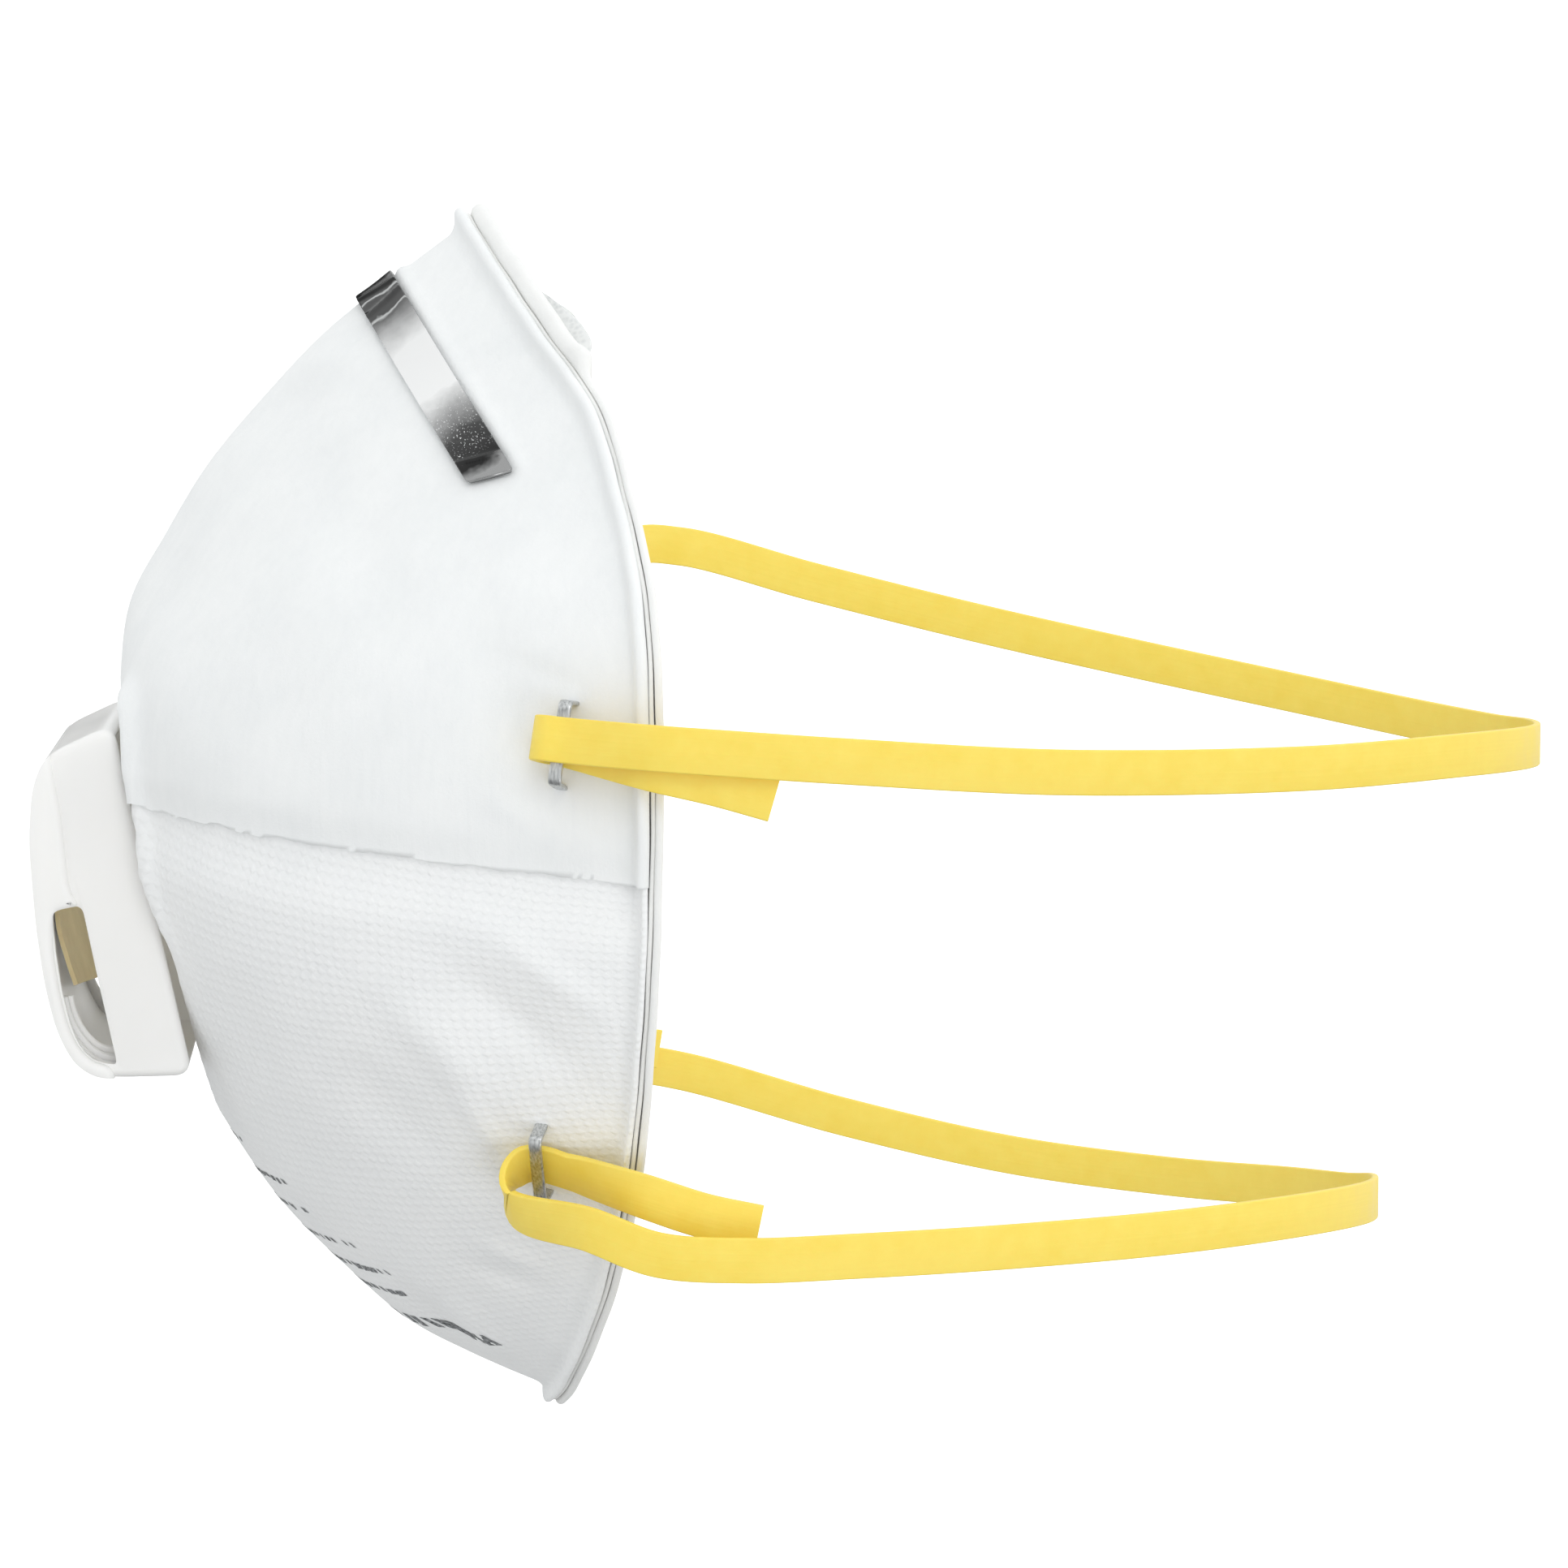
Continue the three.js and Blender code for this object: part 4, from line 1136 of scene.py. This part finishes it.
def tucked(level_name, side, *stops):
    """Stops under and over a crown, from the tail's side to the loop's side."""
    return [near(level_name, side, *stop) for stop in stops]


UPPER_PATH = [
    free(61.7, 11, 7.6), free(61.5, 5, 9.3), free(61, -1.9, 10.9),
    *tucked("upper", 1, (1.5, 3.5, -0.5), (TAIL_OUT, 0, 0), (1.4, -1.8, 0.1), (2.5, -2.7, 0.2),
            (OVER_OUT + 0.1, -1.6, 0.2), (OVER_OUT + 0.1, 0.6, 0.2)),
    free(62.8, -1.5, 13.1), free(63, 6.4, 12.5), free(62.4, 18, 11.6), free(58.5, 41, 9.9),
    free(48.7, 67.7, 9.1), free(33.4, 87.9, 8.9), free(16.2, 99, 8.1), free(0, 102, 7.3),
    free(-13, 100.2, 6.7), free(-27.2, 93, 7.3), free(-39.7, 81.1, 9.2), free(-51.3, 62.6, 12.6),
    free(-58.5, 43.1, 16.7), free(-62.2, 23.1, 21.6), free(-63, 6.8, 26), free(-62.9, 0.5, 25.9),
    *tucked("upper", -1, (OVER_OUT + 0.4, 4.8, 6.5), (OVER_OUT + 0.1, 0.4, 1), (OVER_OUT, -2, 0),
            (2.4, -3.2, -0.2), (1.4, -2.3, -0.2), (TAIL_OUT, 0, 0), (1.5, 3.5, 0)),
    free(-61, -1.9, 11.4), free(-61.3, 3.5, 10.9),
]

LOWER_PATH = [
    free(56, 9.8, -38.4), free(55.4, 4, -37.2), free(53.6, -2.2, -35.4),
    *tucked("lower", 1, (1.4, 3.2, -0.4), (TAIL_OUT, 0, 0), (1.5, -2, -0.3), (3.2, -3.1, -1.2),
            (5.2, -2.4, -2.9)),
    free(55.3, -8, -38.6), free(58.2, -1, -40.8), free(59.3, 8, -41.3), free(58, 20, -41.2),
    free(54.3, 36.1, -41.1), free(46.1, 54.5, -41.3), free(34.2, 69.5, -41.9), free(18, 80.3, -43.4),
    free(0, 84.2, -45.6), free(-10.3, 83, -47.3), free(-22.7, 78.1, -48.7), free(-38.1, 65.4, -50),
    free(-50.2, 46.6, -49.1), free(-56.8, 26.8, -45.3), free(-59.2, 6.6, -39.7), free(-57.6, -2, -38.2),
    *tucked("lower", -1, (5.2, -2.4, -2.6), (3.2, -3.1, -1.2), (1.5, -2, -0.3), (TAIL_OUT, 0, 0),
            (1.4, 3.2, -0.4)),
    free(-53.6, -2.2, -35.2), free(-54.9, 3.5, -36.2),
]


def strap(name, path, cad_node):
    """A flat rubber band along a path, with soft edges; it bends with its own loop behind the staples."""
    count = 700
    stops, leans = (np.array(each) for each in zip(*path))
    places = even_places(stops, count)
    line = spline(stops, places)
    ahead = unit(np.gradient(line, axis=0))
    at = places * (len(path) - 1)
    before = np.minimum(at.astype(int), len(path) - 2)
    mix = (at - before)[:, None]
    lean = leans[before] * (1 - mix) + leans[before + 1] * mix
    flat = unit(np.cross(ahead, lean))
    wide = unit(np.cross(flat, ahead))
    outline = []
    for corner_x, corner_y, start in ((1, 1, 0), (-1, 1, 90), (-1, -1, 180), (1, -1, 270)):
        for angle in (0, 30, 60, 90):
            turned = math.radians(start + angle)
            outline.append((corner_x * (STRAP_WIDE / 2 - 0.2) + 0.2 * math.cos(turned),
                            corner_y * (STRAP_THICK / 2 - 0.2) + 0.2 * math.sin(turned)))
    outline = np.array(outline)
    sections = [line[i] + flat[i] * outline[:, 1:] + wide[i] * outline[:, :1] for i in range(count)]
    length = np.concatenate([[0], np.cumsum(np.linalg.norm(np.diff(line, axis=0), axis=1))])
    blank = np.stack([np.repeat(length, len(outline)), np.tile(outline[:, 0], count)], -1) * MM
    made = swept(name, sections, blank)
    finished(made, yellow, None, "strap_rubber", cad_node)
    auto_smooth(made, 50)
    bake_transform(made)


strap("upper_band", UPPER_PATH, "upper_strap")
strap("lower_band", LOWER_PATH, "lower_strap")


# ---- printed marks ----

@lru_cache(maxsize=None)
def chin_grid():
    turn, s = np.meshgrid(np.linspace(0.3, 0.7, 241), np.linspace(0.3, 0.98, 241), indexing="ij")
    return turn, s, cup_point(turn, s)


def chin_spot(x, z):
    """The turn and share where the cup's front lower face has a given width and height."""
    turn, s, found = chin_grid()
    best = nearest(found, 0, x, z)
    return turn[best], s[best]


def print_marks():
    """Rows of short plain dashes where small print would be; they spell nothing."""
    random = np.random.default_rng(7)
    points, faces = [], []
    rows = [(-36.5, 8, 0.55), (-40.5, 13, 0.6), (-44, 12, 0.6), (-47.5, 15, 0.6), (-50.6, 17, 0.6),
            (-53.4, 14, 0.6), (-57.5, 17, 1.3)]
    for height, half, tall in rows:
        x = -half
        while x < half:
            run = random.uniform(0.4, 1.1) * (1.4 if tall > 1 else 1)
            if random.random() > 0.18:
                turn, s = chin_spot(x + run / 2, height)
                slope_turn = chin_spot(x + run / 2 + 1, height)
                slope_s = chin_spot(x + run / 2, height + 1)
                for a, b in ((-0.5, -0.5), (0.5, -0.5), (0.5, 0.5), (-0.5, 0.5)):
                    t = turn + (slope_turn[0] - turn) * a * run + (slope_s[0] - turn) * b * tall
                    q = s + (slope_turn[1] - s) * a * run + (slope_s[1] - s) * b * tall
                    base = outer_point(np.array(t), np.array(q))
                    lifted = float(lower_lift(base[None])[0]) + 0.05
                    points.append(cup_point(t, q, -lifted))
                faces.append(tuple(range(len(points) - 4, len(points))))
            x += run + random.uniform(0.3, 0.7)
    finished(new_object("print_marks", points, faces), ink, "mask", "lower_web")


print_marks()


# ---- stage, lights and camera ----

def painted(made, scale, low, high, **sockets):
    """Gives a stage piece a matt paint that wanders a little between two grey levels."""
    paint, tree, shader = material(made.name + "_paint", **sockets)
    shade = noise_of(tree, object_place(tree), scale, 1)
    link(tree, shader, Base_Color=ramp(tree, shade, (0.3, low), (0.7, high)))
    made.data.materials.append(paint)


def backdrop():
    """A pale round floor that rises into its own wall, so every side has the same background."""
    profile = [(0.0, -0.16), (1.6, -0.16), (2.4, -0.1), (3.0, 0.2), (3.4, 0.8), (3.5, 1.8), (3.5, 3.2)]
    line = spline(profile, np.linspace(0.002, 1, 50))
    around = 96
    angles = np.arange(around) * 2 * math.pi / around
    points = [(r * math.cos(a) / MM, r * math.sin(a) / MM, z / MM) for r, z in line for a in angles]
    faces = grid_faces(len(line), around)
    faces.append(tuple(range(around)))
    made = facing_out(new_object("backdrop", points, faces))
    painted(made, 1.2, 0.9, 0.92, Roughness=0.9, Emission_Strength=0.5, Emission_Color=(1, 1, 1, 1))
    made.data.shade_smooth()
    made.visible_diffuse = False
    made.visible_glossy = False
    made.visible_shadow = False


def aimed(made, place, aim, axis):
    made.location = Vector(place)
    made.rotation_mode = "QUATERNION"
    made.rotation_quaternion = (Vector(aim) - Vector(place)).to_track_quat(axis, "Y")


def dark_card(name, place, aim, size):
    """A black card that only shows in reflections and shapes the light."""
    half = size / 2
    corners = [(-half, -half, 0), (half, -half, 0), (half, half, 0), (-half, half, 0)]
    made = new_object(name, corners, [(0, 1, 2, 3)])
    painted(made, 2, 0.01, 0.02, Roughness=1.0)
    aimed(made, place, aim, "Z")
    made.visible_camera = False


def soft_light(name, place, aim, size, power):
    data = bpy.data.lights.new(name, "AREA")
    data.shape = "DISK"
    data.size = size
    data.energy = power
    made = in_scene(name, data)
    aimed(made, place, aim, "-Z")
    made.visible_camera = False


def sky():
    """Soft light from all round, brighter from above than from below."""
    world = bpy.data.worlds.new("studio")
    world.use_nodes = True
    tree = world.node_tree
    height = node(tree, "SeparateXYZ", {"Vector": node(tree, "TexCoord").outputs["Generated"]}).outputs[2]
    level = node(tree, "MapRange", {"Value": height, "From Min": -0.85, "From Max": -0.05, "To Min": 0.32,
                                    "To Max": 0.99}, interpolation_type="SMOOTHSTEP").outputs[0]
    tree.links.new(level, tree.nodes["Background"].inputs["Strength"])
    tree.nodes["Background"].inputs["Color"].default_value = (0.985, 1, 1, 1)
    bpy.context.scene.world = world


def studio():
    backdrop()
    sky()
    centre = (0, 0, 0)
    soft_light("key", (1.6, 0.2, 1.5), centre, 1.0, 5)
    soft_light("fill", (1.3, 0.6, -0.7), centre, 0.9, 4)
    soft_light("rear", (-0.6, 1.4, 1.2), centre, 1.2, 4)
    dark_card("card_far", (-1.5, -0.6, 0.26), centre, 800)
    dark_card("card_near", (1.4, -1.0, 0.92), centre, 520)
    bpy.context.scene.view_settings.view_transform = "Standard"


VIEW_AZIMUTH, VIEW_ELEVATION = 86.5, 6
VIEW_TARGET = (0, 15.8, 2.7)
VIEW_DISTANCE = 650
VIEW_LENS = 130.3


def camera():
    azimuth, elevation = math.radians(VIEW_AZIMUTH), math.radians(VIEW_ELEVATION)
    target = Vector(VIEW_TARGET) * MM
    back = Vector((math.sin(azimuth) * math.cos(elevation), -math.cos(azimuth) * math.cos(elevation),
                   math.sin(elevation)))
    made = in_scene("camera", bpy.data.cameras.new("camera"))
    aimed(made, target + back * VIEW_DISTANCE * MM, target, "-Z")
    made.data.sensor_width = 36
    made.data.lens = VIEW_LENS
    bpy.context.scene.camera = made


studio()
camera()
